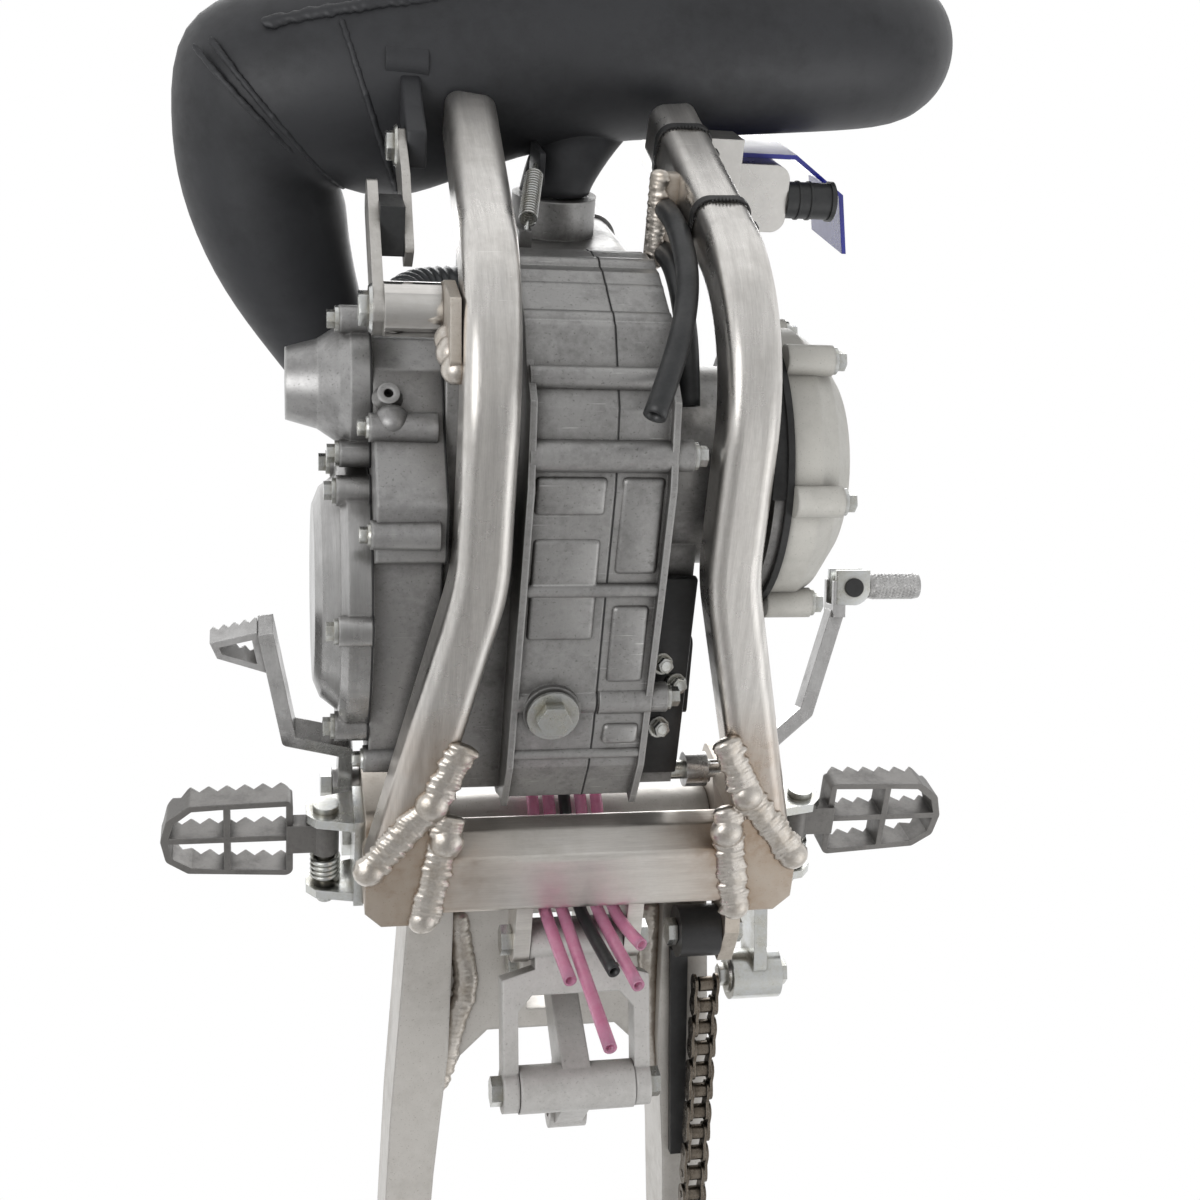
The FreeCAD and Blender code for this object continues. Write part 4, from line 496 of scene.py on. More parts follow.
for node, run in drainHoses.items():
    x, shift = run["start"], run["end"] - run["start"]
    way = [(x, -100, 218), (x, -74, 218), (x, -42, 196), (x, -22, 156), (x, -14, 112), (x, -2, 78),
           (x, 20, 56), (x + shift * 0.1, 38, 34), (x + shift * 0.3, 41.5, 4), (run["end"], 40, run["low"])]
    slot = "drain_pink" if run["finish"] is drainPink else "black_rubber"
    hangHose(node, way, *hoseSizes["drain"], run["length"], run["finish"], slot, "medium")
for node, run in breatherHoses.items():
    hangHose(node, run["points"], *hoseSizes["breather"], run["length"], rubberBlack, "black_rubber",
             "stiff")
print("hoses hung:", len(drainHoses) + len(breatherHoses))


# mesh helpers
def finishPiece(name, bm, finish, body, replaced=(), smooth=35.0, tidy=True):
    if tidy:
        bmesh.ops.remove_doubles(bm, verts=bm.verts[:], dist=1e-6)
        bmesh.ops.recalc_face_normals(bm, faces=bm.faces[:])
    mesh = bpy.data.meshes.new(name)
    bm.to_mesh(mesh)
    bm.free()
    mesh.materials.append(finish)
    mesh.shade_smooth()
    mesh.set_sharp_from_angle(angle=math.radians(smooth))
    piece = bpy.data.objects.new(name, mesh)
    bpy.context.scene.collection.objects.link(piece)
    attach(piece, body)
    if replaced:
        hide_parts(*replaced)
    return piece


def aim(direction):  # turns +Z to the direction
    return Vector(direction).to_track_quat("Z", "Y").to_matrix().to_4x4()


def pick(parts, kind):  # the vertices or edges among an operator's results
    return [part for part in parts if isinstance(part, kind)]


def ringEdges(bm, verts):  # the edges that lie in one ring
    return [edge for edge in bm.edges if edge.verts[0] in verts and edge.verts[1] in verts]


def tiltedPlace(pivot, degrees):  # the slope of an arm about its pivot
    return Matrix.Translation(Vector(pivot) * mm) @ Matrix.Rotation(-math.radians(degrees), 4, "X")


def fuseLumps(bm, voxel, soften):  # lumps melted into one skin
    mesh = bpy.data.meshes.new("lumps")
    bm.to_mesh(mesh)
    bm.free()
    holder = bpy.data.objects.new("lumps", mesh)
    bpy.context.scene.collection.objects.link(holder)
    melt = holder.modifiers.new("melt", "REMESH")
    melt.mode = "VOXEL"
    melt.voxel_size = voxel
    melt.use_smooth_shade = True
    settle = holder.modifiers.new("settle", "SMOOTH")
    settle.factor = 0.5
    settle.iterations = soften
    melted = bpy.data.meshes.new_from_object(holder.evaluated_get(bpy.context.evaluated_depsgraph_get()))
    out = bmesh.new()
    out.from_mesh(melted)
    bpy.data.objects.remove(holder)
    bpy.data.meshes.remove(mesh)
    bpy.data.meshes.remove(melted)
    return out


# weld beads: overlapping ripples along each joint, melted together
def layBead(bm, route, width, step, lift, up=(0, 0, -1), wander=0.12):
    route = [Vector(p) * mm for p in route]
    up = Vector(up).normalized()
    for here, there in zip(route, route[1:]):
        run = there - here
        count = max(2, round(run.length / step))
        ahead = run.normalized()
        side = ahead.cross(up).normalized()
        for i in range(count + 1):
            wide = width * random.uniform(1 - wander, 1 + wander)
            spot = here + run * (i / count) + side * random.uniform(-0.1, 0.1) * width
            axes = Matrix((ahead, side, up)).transposed().to_4x4()
            tilt = Matrix.Rotation(math.radians(-28), 4, "Y")
            scale = Matrix.Diagonal((step * 1.7, wide, lift * random.uniform(0.95, 1.05), 1))
            bmesh.ops.create_icosphere(bm, subdivisions=2, radius=1.0,
                                       matrix=Matrix.Translation(spot) @ axes @ tilt @ scale)


def layBlob(bm, spot, radius, up=(0, 0, -1), flat=0.75):
    axes = aim(up)
    scale = Matrix.Diagonal((radius, radius, radius * flat, 1))
    bmesh.ops.create_icosphere(bm, subdivisions=3, radius=1.0,
                               matrix=Matrix.Translation(Vector(spot) * mm) @ axes @ scale)


cornerBeads = {
    "runs": [[(79, -88, 1), (95, -53, 0)], [(97, -50, 0), (132, -5, 1)], [(85, -40, 1), (98, 33, 1)]],
    "blobs": [((95.5, -52, 0), 0.0105), ((131, -6, 1), 0.0098), ((86, -26, 0), 0.0106),
              ((98, 31, 1), 0.0092), ((80, -84, 1), 0.0078)],
    "width": 0.0098, "step": 0.0025, "lift": 0.0058, "voxel": 0.0006,
}
bm = bmesh.new()
for side in (1, -1):
    for run in cornerBeads["runs"]:
        layBead(bm, [(side * p[0], p[1], p[2]) for p in run], cornerBeads["width"], cornerBeads["step"],
                cornerBeads["lift"])
    for spot, radius in cornerBeads["blobs"]:
        layBlob(bm, (side * spot[0], spot[1], spot[2]), radius)
bm = fuseLumps(bm, cornerBeads["voxel"], 2)
finishPiece("cornerBeads", bm, weldBead, "frame", ["weld_beads"], 60.0, tidy=False)
print("corner beads laid")


# springs wound from round wire
def windSpring(bm, centre, axis, radius, wire, turns, length, perTurn=20, sides=8):
    frameTurn = Matrix.Translation(centre) @ aim(axis)
    across = Matrix.Translation((radius, 0, 0)) @ Matrix.Rotation(math.pi / 2, 4, "X")
    ring = bmesh.ops.create_circle(bm, cap_ends=False, segments=sides, radius=wire,
                                   matrix=frameTurn @ across)
    verts = ring["verts"]
    edges = list({e for v in verts for e in v.link_edges})
    steps = round(perTurn * turns)
    way = frameTurn.to_3x3() @ Vector((0, 0, 1))
    bmesh.ops.contextual_create(bm, geom=edges)
    last = bmesh.ops.spin(bm, geom=verts + edges, cent=centre, axis=way, dvec=way * (length / steps),
                          angle=2 * math.pi * turns, steps=steps, use_merge=False)
    bmesh.ops.contextual_create(bm, geom=pick(last["geom_last"], bmesh.types.BMEdge))


pegCoils = {"place": (0.154, 0.0235, 0.064), "radius": 0.0077, "wire": 0.0019, "turns": 4.6,
            "length": 0.0165}
bm = bmesh.new()
for side in (1, -1):
    spot = Vector(pegCoils["place"])
    spot.x *= side
    windSpring(bm, spot, (0, 1, 0), pegCoils["radius"], pegCoils["wire"], pegCoils["turns"],
               pegCoils["length"])
finishPiece("pegCoils", bm, zincBolt, "frame", ["peg_springs"], 60.0)

pipeCoil = {"low": (-0.034, -0.3499, 0.170), "high": (-0.0218, -0.378, 0.226), "radius": 0.0050,
            "wire": 0.0009, "hook": 0.0105, "turns": 18}
bm = bmesh.new()
low, high = Vector(pipeCoil["low"]), Vector(pipeCoil["high"])
along = (high - low).normalized()
body = (high - low).length - 2 * pipeCoil["hook"]
windSpring(bm, low + along * pipeCoil["hook"], along, pipeCoil["radius"], pipeCoil["wire"],
           pipeCoil["turns"], body, 16)
hookWire = pipeCoil["wire"] * 1.3
for end, way in ((low, along), (high, -along)):
    bmesh.ops.create_cone(bm, cap_ends=True, segments=10, radius1=hookWire, radius2=hookWire,
                          depth=pipeCoil["hook"] * 1.1,
                          matrix=Matrix.Translation(end + way * pipeCoil["hook"] * 0.5) @ aim(along))
finishPiece("pipeCoil", bm, zincBolt, "frame", ["pipe_spring"], 60.0)
print("springs wound")


# small shapes used by several pieces
def rodAt(bm, start, end, radius, segments=28, tip=None):
    start, end = Vector(start) * mm, Vector(end) * mm
    run = end - start
    turn = Matrix.Translation((start + end) / 2) @ aim(run)
    made = bmesh.ops.create_cone(bm, cap_ends=True, segments=segments, radius1=radius * mm,
                                 radius2=(tip or radius) * mm, depth=run.length, matrix=turn)
    return made["verts"]


def blockAt(bm, low, high, soft, segments=2):
    low, high = Vector(low) * mm, Vector(high) * mm
    size = Matrix.Diagonal((*(high - low), 1))
    made = bmesh.ops.create_cube(bm, size=1.0, matrix=Matrix.Translation((low + high) / 2) @ size)
    softenEdges(bm, made["verts"], soft, segments)


def softenEdges(bm, verts, soft, segments=2):
    edges = list({edge for vert in verts for edge in vert.link_edges})
    bmesh.ops.bevel(bm, geom=edges, offset=soft * mm, offset_type="OFFSET", affect="EDGES",
                    segments=segments, profile=0.5, material=-1, clamp_overlap=True)


def hexBolt(bm, seat, way, radius, tall, flange):  # flange-head bolt standing on its seat
    way = Vector(way).normalized()
    seat = Vector(seat)
    rodAt(bm, seat, seat + way * tall * 0.25, flange, 32, flange * 0.9)
    head = rodAt(bm, seat + way * tall * 0.2, seat + way * tall, radius, 6)
    softenEdges(bm, head, radius * 0.07, 2)
    rodAt(bm, seat + way * tall, seat + way * tall * 1.04, radius * 0.62, 24)


# expansion chamber: rings across the pipe's run, bridged and smoothed
exhaust = {
    "stations": [
        (0, -352, 275, 23.5, 270), (3, -367, 277, 24, None), (28, -398, 304, 25.5, None),
        (75, -424, 368, 28.5, None), (135, -440, 412, 31.5, None), (192, -444, 421, 36, None),
        (240, -446, 400, 40, None), (257, -446, 357, 45, None), (234, -447, 318, 50, None),
        (185, -448, 304, 54, None), (100, -447, 302, 59.5, None), (0, -440, 304, 63, 180),
        (-60, -425, 304, 68, 170), (-112, -411, 304, 75, 165), (-158, -402, 306, 75, 150),
        (-192, -394, 307, 71, 133), (-193, -362, 306, 60, 112), (-189, -334, 301, 55, 92),
        (-178, -298, 295, 47, 72), (-160, -260, 289, 38, None), (-140, -222, 284, 29, None),
        (-120, -180, 281, 21, None), (-104, -130, 279, 16, None),
    ],
    "sides": 24, "wall": 0.002, "seamWidth": 0.0021, "seamLift": 0.0012, "seamStep": 0.0019,
    "seamSink": 1.2, "seamVoxel": 0.0009, "seamWander": 0.18,
    "ringSeams": [(14, 0.72, range(-70, 51, 10)), (14, 0.95, range(-70, 51, 10)),
                  (13, 0.3, range(-80, 41, 12))],  # station, share of the way to the next, leans
    "ridgeLean": 48, "ridgeWide": 2.2, "ridgeLong": 1.5, "bendLean": 62,
    "stay": [(-382, 176), (-394, 206), (-405, 262), (-440, 262), (-414, 206), (-404, 177)],
    "stayFrom": -107, "stayTo": -95, "stayPad": ((-116, -432, 246), (-90, -432, 246), 13),
    "tab": ((-20, -386, 222), (-16, -366, 262)),
}
stations = exhaust["stations"]


def stationHeading(i):
    turn = stations[i][4]
    if turn is not None:
        return Vector((math.cos(math.radians(turn)), math.sin(math.radians(turn)), 0))
    low, high = stations[max(i - 1, 0)], stations[min(i + 1, len(stations) - 1)]
    return (Vector(high[:3]) - Vector(low[:3])).normalized()


bm = bmesh.new()
hand = Vector((0, 0, 1))
rings = []
for i, station in enumerate(stations):
    ahead = stationHeading(i)
    hand = (hand - ahead * hand.dot(ahead)).normalized()
    axes = Matrix((hand, ahead.cross(hand), ahead)).transposed().to_4x4()
    ring = bmesh.ops.create_circle(bm, cap_ends=False, segments=exhaust["sides"], radius=station[3] * mm,
                                   matrix=Matrix.Translation(Vector(station[:3]) * mm) @ axes)
    rings.append(list({edge for vert in ring["verts"] for edge in vert.link_edges}))
for low, high in zip(rings, rings[1:]):
    bmesh.ops.bridge_loops(bm, edges=low + high)
chamberSkin = finishPiece("chamberSkin", bm, pipeBlack, "frame", ["expansion_chamber"], 80.0)
rounding = chamberSkin.modifiers.new("round", "SUBSURF")
rounding.levels = 2
rounding.render_levels = 2
wall = chamberSkin.modifiers.new("wall", "SOLIDIFY")
wall.thickness = exhaust["wall"]
wall.offset = -1.0

bm = bmesh.new()
corners = [bm.verts.new((exhaust["stayFrom"] * mm, y * mm, z * mm)) for y, z in exhaust["stay"]]
side = bm.faces.new(corners)
grown = bmesh.ops.extrude_face_region(bm, geom=[side])
pushed = pick(grown["geom"], bmesh.types.BMVert)
bmesh.ops.translate(bm, verts=pushed, vec=((exhaust["stayTo"] - exhaust["stayFrom"]) * mm, 0, 0))
softenEdges(bm, bm.verts[:], 1.6, 3)
blockAt(bm, *exhaust["tab"], 0.8)
rodAt(bm, *exhaust["stayPad"], 32)
finishPiece("chamberStay", bm, pipeBlack, "frame", [], 40.0)


def pipeSpot(i, share, lean):  # on the skin, lean degrees from straight down towards the outside of the bend
    low, high = stations[i], stations[min(i + 1, len(stations) - 1)]
    centre = Vector(low[:3]).lerp(Vector(high[:3]), share)
    radius = low[3] + (high[3] - low[3]) * share
    ahead = stationHeading(i).lerp(stationHeading(min(i + 1, len(stations) - 1)), share).normalized()
    out = Vector((-ahead.y, ahead.x, 0)).normalized()
    away = Vector((0, 0, -1)) * math.cos(math.radians(lean)) + out * math.sin(math.radians(lean))
    return centre + away * (radius - exhaust["seamSink"]), away


def laySeam(bm, spots, width, step, lift):
    for (here, up), ahead in zip(spots, spots[1:]):
        layBead(bm, [here, ahead[0]], width, step, lift, up, exhaust["seamWander"])


bm = bmesh.new()
seam = (exhaust["seamWidth"], exhaust["seamStep"], exhaust["seamLift"])
for i, share, leans in exhaust["ringSeams"]:
    laySeam(bm, [pipeSpot(i, share, lean) for lean in leans], *seam)
ridge = [pipeSpot(i, share, exhaust["ridgeLean"])
         for i in range(10, 15) for share in (0.0, 0.33, 0.66)][:-2]
laySeam(bm, ridge, exhaust["seamWidth"] * exhaust["ridgeWide"], exhaust["seamStep"] * exhaust["ridgeLong"],
        exhaust["seamLift"] * exhaust["ridgeWide"])
bend = [pipeSpot(i, share, exhaust["bendLean"]) for i in range(7, 10) for share in (0.0, 0.5)]
laySeam(bm, bend, *seam)
bm = fuseLumps(bm, exhaust["seamVoxel"], 1)
finishPiece("chamberSeams", bm, pipeBlack, "frame", [], 60.0, tidy=False)
print("exhaust made")


# exhaust mount: bolts, polished spacer, coolant hose behind it
mount = {"spot": (-326, 76), "spacerFrom": -125.8, "spacerTo": -94.2, "spacerRadius": 15.2,
         "boltSeat": -132, "boltSize": (10.3, 7.4, 14), "stayBolt": (-393, 188), "stayBoltSeat": -112,
         "stayBoltSize": (9.3, 6.4, 12.5)}  # a bolt's size: radius, height, flange
bm = bmesh.new()
y, z = mount["spot"]
rodAt(bm, (mount["spacerFrom"], y, z), (mount["spacerTo"], y, z), mount["spacerRadius"], 48)
finishPiece("mountSpacer", bm, spacerPolish, "frame")
bm = bmesh.new()
hexBolt(bm, (mount["boltSeat"], y, z), (-1, 0, 0), *mount["boltSize"])
hexBolt(bm, (mount["stayBoltSeat"], *mount["stayBolt"]), (-1, 0, 0), *mount["stayBoltSize"])
finishPiece("mountBolts", bm, zincBolt, "frame")

coolant = {"route": [(-106, -282, 176), (-106, -288, 204), (-100, -292, 228), (-80, -292, 246),
                     (-50, -290, 254)],
           "steps": 16, "sides": 24, "radius": 0.0135, "ridge": 0.0014, "pitch": 0.0062}


def routePoints(route, steps):
    curve = routeCurve("route", route, steps)
    holder = bpy.data.objects.new("route", curve)
    bpy.context.scene.collection.objects.link(holder)
    line = bpy.data.meshes.new_from_object(holder.evaluated_get(bpy.context.evaluated_depsgraph_get()))
    points = [vert.co.copy() for vert in line.vertices]
    bpy.data.objects.remove(holder)
    bpy.data.curves.remove(curve)
    bpy.data.meshes.remove(line)
    return points


bm = bmesh.new()
spots = routePoints(coolant["route"], coolant["steps"])
hand = Vector((0, 1, 0))
rings = []
far = 0.0
for i, spot in enumerate(spots):
    ahead = (spots[min(i + 1, len(spots) - 1)] - spots[max(i - 1, 0)]).normalized()
    hand = (hand - ahead * hand.dot(ahead)).normalized()
    far += (spot - spots[i - 1]).length if i else 0.0
    wave = coolant["ridge"] * (0.5 + 0.5 * math.cos(2 * math.pi * far / coolant["pitch"]))
    axes = Matrix((hand, ahead.cross(hand), ahead)).transposed().to_4x4()
    ring = bmesh.ops.create_circle(bm, cap_ends=i in (0, len(spots) - 1), segments=coolant["sides"],
                                   radius=coolant["radius"] + wave, matrix=Matrix.Translation(spot) @ axes)
    rings.append(ringEdges(bm, ring["verts"]))
for low, high in zip(rings, rings[1:]):
    bmesh.ops.bridge_loops(bm, edges=low + high)
finishPiece("coolantHose", bm, hoseGrey, "frame", [], 60.0)
print("mount made")


# casting detail: ribs, pads and bosses on the crankcase and its right cover
casting = {
    "bars": [(-49, -262, 22, 9.4), (-49, -182, 17.5, 4.2), (2, -108, 23, 9.4), (-49, -72, 22, 4.0),
             (-49, -302, 36, 6.5)],
    "barTo": 33.5,
    "pads": [(4, 29, -251, -192), (5, 27, -172, -122), (-45, -4, -251, -228), (-44, -5, -214, -150),
             (6, 28, -94, -80)],
    "padTop": 17.6, "padProud": 1.8, "padRoot": 30, "padSoft": 3.0,
    "flangeBolts": [(44, -262, 23), (44, -108, 24)], "flangeBolt": (5.4, 7.0, 7.6),
    "coverBosses": [(-262, 62), (-212, 27), (-56, 47)], "bossFrom": -133, "bossTo": -95, "bossRadius": 8.2,
    "bossBolt": (4.8, 6.4, 6.8),
}
bm = bmesh.new()
for x, y, z, radius in casting["bars"]:
    rodAt(bm, (x, y, z), (casting["barTo"], y, z), radius, 24)
for left, right, low, high in casting["pads"]:
    blockAt(bm, (left, low, casting["padTop"] - casting["padProud"]), (right, high, casting["padRoot"]),
            casting["padSoft"], 3)
finishPiece("bellyDetail", bm, castGrey, "frame", [], 40.0)
bm = bmesh.new()
for y, z in casting["coverBosses"]:
    rodAt(bm, (casting["bossFrom"], y, z), (casting["bossTo"], y, z), casting["bossRadius"], 28,
          casting["bossRadius"] * 1.1)
finishPiece("coverBosses", bm, coverGrey, "frame", [], 40.0)
bm = bmesh.new()
for spot in casting["flangeBolts"]:
    hexBolt(bm, spot, (1, 0, 0), *casting["flangeBolt"])
for y, z in casting["coverBosses"]:
    hexBolt(bm, (casting["bossFrom"], y, z), (-1, 0, 0), *casting["bossBolt"])
finishPiece("caseBolts", bm, zincBolt, "frame")

pumpDrain = {"spot": (-122, -276, 73), "way": (0, -0.68, -0.73), "radius": 6.6, "hole": 2.7, "tall": 6.0,
             "lump": (-120, -267, 62), "lumpRadius": 0.0095, "lumpWay": (0, -0.9, -0.4), "lumpFlat": 0.8}
bm = bmesh.new()
base, way = Vector(pumpDrain["spot"]), Vector(pumpDrain["way"]).normalized()
radius, hole, tall = pumpDrain["radius"], pumpDrain["hole"], pumpDrain["tall"]
profile = [(radius * 1.35, -2.0), (radius, 2.0), (radius * 0.96, tall), (hole, tall), (hole, 0.0)]
turn = Matrix.Translation(base * mm) @ aim(way)
line = [bm.verts.new(turn @ (Vector((out, 0, up)) * mm)) for out, up in profile]
edges = [bm.edges.new(pair) for pair in zip(line, line[1:])]
bmesh.ops.spin(bm, geom=line + edges, cent=base * mm, axis=way, angle=2 * math.pi, steps=28, use_merge=True)
layBlob(bm, pumpDrain["lump"], pumpDrain["lumpRadius"], pumpDrain["lumpWay"], pumpDrain["lumpFlat"])
finishPiece("pumpDrain", bm, coverGrey, "frame", [], 50.0)


def jointLine(name, node, cut, wide, proud):  # dark seam round a node where the plane x = cut meets it
    bm = bmesh.new()
    bm.from_mesh(cadNodes[node].data)
    bmesh.ops.remove_doubles(bm, verts=bm.verts[:], dist=1e-6)
    bmesh.ops.bisect_plane(bm, geom=bm.verts[:] + bm.edges[:] + bm.faces[:], dist=1e-7,
                           plane_co=(cut * mm, 0, 0), plane_no=(1, 0, 0), clear_inner=True, clear_outer=True)
    bmesh.ops.delete(bm, geom=bm.faces[:], context="FACES_ONLY")
    grown = bmesh.ops.extrude_edge_only(bm, edges=bm.edges[:])
    pushed = pick(grown["geom"], bmesh.types.BMVert)
    bmesh.ops.translate(bm, verts=pushed, vec=(wide * mm, 0, 0))
    bmesh.ops.translate(bm, verts=bm.verts[:], vec=(-wide * mm / 2, 0, 0))
    strip = finishPiece(name, bm, gasketBlack, "frame", [], 40.0)
    wall = strip.modifiers.new("wall", "SOLIDIFY")
    wall.thickness = 2 * proud * mm
    wall.offset = 0.0


jointLines = {  # node, cut, width and how far it stands proud
    "caseSplit": ("left_crankcase", 0.6, 0.9, 0.25),
    "coverJoint": ("right_case_cover", -90.8, 1.2, 0.3),
    "clutchJoint": ("clutch_cover", -130.8, 1.2, 0.3),
    "pumpJoint": ("water_pump_cover", -130.8, 1.2, 0.3),
}
for name, plan in jointLines.items():
    jointLine(name, *plan)
print("castings detailed")

# magneto: a black arc ring behind the cover's front edge
blackArc = {"centre": (-226, 102), "radius": 85.6, "deep": 4, "from": 91, "to": 100.4, "start": 196,
        "end": 262, "steps": 16}
bm = bmesh.new()
y, z = blackArc["centre"]
first = math.radians(blackArc["start"])
outer, inner = blackArc["radius"], blackArc["radius"] - blackArc["deep"]
rim = [(inner, blackArc["from"]), (outer, blackArc["from"] + 1), (outer, blackArc["to"]), (inner, blackArc["to"])]
line = [bm.verts.new((x * mm, (y + r * math.cos(first)) * mm, (z + r * math.sin(first)) * mm))
        for r, x in rim]
edges = [bm.edges.new(pair) for pair in zip(line, line[1:] + line[:1])]
bm.faces.new(line)
swept = bmesh.ops.spin(bm, geom=line + edges, cent=Vector((0, y, z)) * mm, axis=(1, 0, 0),
                       angle=math.radians(blackArc["end"] - blackArc["start"]), steps=blackArc["steps"], use_merge=False)
bmesh.ops.contextual_create(bm, geom=pick(swept["geom_last"], bmesh.types.BMEdge))
finishPiece("magnetoBlackArc", bm, gasketBlack, "frame", [], 40.0)

# more welds: the down tube's inner side, the pipe bracket, the swingarm's underside
tubeWeld = {"route": [(40, -339, 145), (40, -365, 145), (39, -391, 146)], "up": (-0.5, 0, -0.86),
            "width": 0.0062, "step": 0.0024, "lift": 0.0036,
            "voxel": 0.0007, "gusset": ((35.8, -392, 145), (54, -338, 157)), "gussetSoft": 2.5}
bracketBlobs = {"blobs": [((-92, -318, 48), 0.0085), ((-91, -314, 38), 0.0095), ((-90, -308, 28), 0.0085)],
                "up": (-0.5, -0.3, -0.8), "flat": 0.85}
bm = bmesh.new()
layBead(bm, tubeWeld["route"], tubeWeld["width"], tubeWeld["step"], tubeWeld["lift"], tubeWeld["up"])
for spot, radius in bracketBlobs["blobs"]:
    layBlob(bm, spot, radius, bracketBlobs["up"], bracketBlobs["flat"])
bm = fuseLumps(bm, tubeWeld["voxel"], 1)
finishPiece("frameWelds", bm, weldBead, "frame", [], 60.0, tidy=False)
bm = bmesh.new()
blockAt(bm, *tubeWeld["gusset"], tubeWeld["gussetSoft"], 3)
finishPiece("tubeGusset", bm, plateSatin, "frame")

armBeads = {"right": [(-66, 88), (-63, 110), (-60, 125), (-60, 142), (-65, 156), (-69, 175), (-73, 192),
                      (-78, 208)],
            "left": [(67, 88), (66, 112), (66, 142), (68, 160), (70, 180), (75, 206)],
            "level": 75.0, "fall": 0.2126, "levelAt": 97.2, "width": 0.0082, "step": 0.0032, "lift": 0.0048,
            "up": (0, -0.21, -0.98), "voxel": 0.0008}
bm = bmesh.new()
for way in (armBeads["right"], armBeads["left"]):
    route = [(x, y, armBeads["level"] - armBeads["fall"] * (y - armBeads["levelAt"])) for x, y in way]
    layBead(bm, route, armBeads["width"], armBeads["step"], armBeads["lift"], armBeads["up"])
bm = fuseLumps(bm, armBeads["voxel"], 1)
finishPiece("armBeads", bm, weldBead, bodyOf["swingarm"], [], 60.0, tidy=False)
print("more welds laid")

# drive chain: waisted plates, rollers and pin heads on the swingarm's own slope
chain = {"pivot": (0, 33, 103), "droop": 12, "x": 98, "start": 100, "pitch": 15.875, "count": 20,
         "drop": -46, "tall": 13.6, "waist": 0.68, "thick": 1.9, "inner": 5.4, "outer": 7.4,
         "rods": [(4.4, 5.0, 18), (9, 2.5, 14)]}  # rollers and pins: half length, radius, sides
armPlace = tiltedPlace(chain["pivot"], chain["droop"])


def chainPlate(bm, x, y):  # two round ends and a waist between them
    half, radius = chain["pitch"] / 2, chain["tall"] / 2
    outline = []
    for end in (1, -1):
        for i in range(9):
            angle = math.radians(-110 + 27.5 * i)
            outline.append((y + end * (half + radius * math.cos(angle)), end * radius * math.sin(angle)))
        outline.append((y, end * radius * chain["waist"]))
    corners = [bm.verts.new(Vector((x - chain["thick"] / 2, far, chain["drop"] + tall)) * mm)
               for far, tall in outline]
    grown = bmesh.ops.extrude_face_region(bm, geom=[bm.faces.new(corners)])
    pushed = pick(grown["geom"], bmesh.types.BMVert)
    bmesh.ops.translate(bm, verts=pushed, vec=(chain["thick"] * mm, 0, 0))


bm = bmesh.new()
for i in range(chain["count"]):
    y = chain["start"] + chain["pitch"] * i
    for half, radius, sides in chain["rods"]:
        rodAt(bm, (chain["x"] - half, y, chain["drop"]), (chain["x"] + half, y, chain["drop"]),
              radius, sides)
    if i < chain["count"] - 1:
        off = chain["inner"] if i % 2 else chain["outer"]
        for side in (1, -1):
            chainPlate(bm, chain["x"] + side * off, y + chain["pitch"] / 2)
bmesh.ops.transform(bm, matrix=armPlace, verts=bm.verts[:])
finishPiece("chainLinks", bm, chainSteel, bodyOf["drive_chain"], ["drive_chain"], 40.0)
print("chain laid")

# shift lever: knurled tip, square knuckle
shifter = {"pivot": (0, -39, 52), "tilt": 20, "along": -116, "from": 189, "to": 221.6, "radius": 8.25,
           "endInset": 0.9, "sides": 26, "rows": 15, "peak": 0.0005, "pin": 176, "half": 11.0, "swing": 11.6,
           "cheek": (4.9, 9.4), "cheekSoft": 0.5}
leverPlace = tiltedPlace(shifter["pivot"], shifter["tilt"])
bm = bmesh.new()
rings = []
sideways = Matrix.Rotation(math.pi / 2, 4, "Y")
for i in range(shifter["rows"]):
    x = shifter["from"] + (shifter["to"] - shifter["from"]) * i / (shifter["rows"] - 1)
    ends = i in (0, shifter["rows"] - 1)
    turn = Matrix.Rotation(math.pi / shifter["sides"] * i, 4, "X")
    radius = shifter["radius"] - (shifter["endInset"] if ends else 0.0)
    place = Matrix.Translation(Vector((x, shifter["along"], 0)) * mm) @ turn @ sideways
    ring = bmesh.ops.create_circle(bm, cap_ends=ends, segments=shifter["sides"], radius=radius * mm,
                                   matrix=place)
    rings.append(ringEdges(bm, ring["verts"]))
quads = []
for low, high in zip(rings, rings[1:]):
    quads += bmesh.ops.bridge_loops(bm, edges=low + high)["faces"]
bmesh.ops.recalc_face_normals(bm, faces=bm.faces[:])
bmesh.ops.poke(bm, faces=quads, offset=shifter["peak"])
bmesh.ops.transform(bm, matrix=leverPlace, verts=bm.verts[:])
finishPiece("shiftKnurl", bm, pedalSatin, bodyOf["shift_tip"], [], 12.0)
bm = bmesh.new()
half = shifter["half"]
outline = [(-half, half), (-half, -half), (half, -half)]  # square, but round where the folding tip swings by
for angle in range(10, 81, 14):
    outline.append((shifter["swing"] * math.cos(math.radians(angle)),
                    shifter["swing"] * math.sin(math.radians(angle))))
for side in (1, -1):
    low, high = shifter["cheek"]
    corners = [bm.verts.new(Vector((shifter["pin"] + x, shifter["along"] + y, side * low)) * mm)
               for x, y in outline]
    grown = bmesh.ops.extrude_face_region(bm, geom=[bm.faces.new(corners)])
    pushed = pick(grown["geom"], bmesh.types.BMVert)
    bmesh.ops.translate(bm, verts=pushed, vec=(0, 0, side * (high - low) * mm))
softenEdges(bm, bm.verts[:], shifter["cheekSoft"], 2)
bmesh.ops.transform(bm, matrix=leverPlace, verts=bm.verts[:])
finishPiece("shiftKnuckle", bm, zincBolt, bodyOf["shift_lever"])

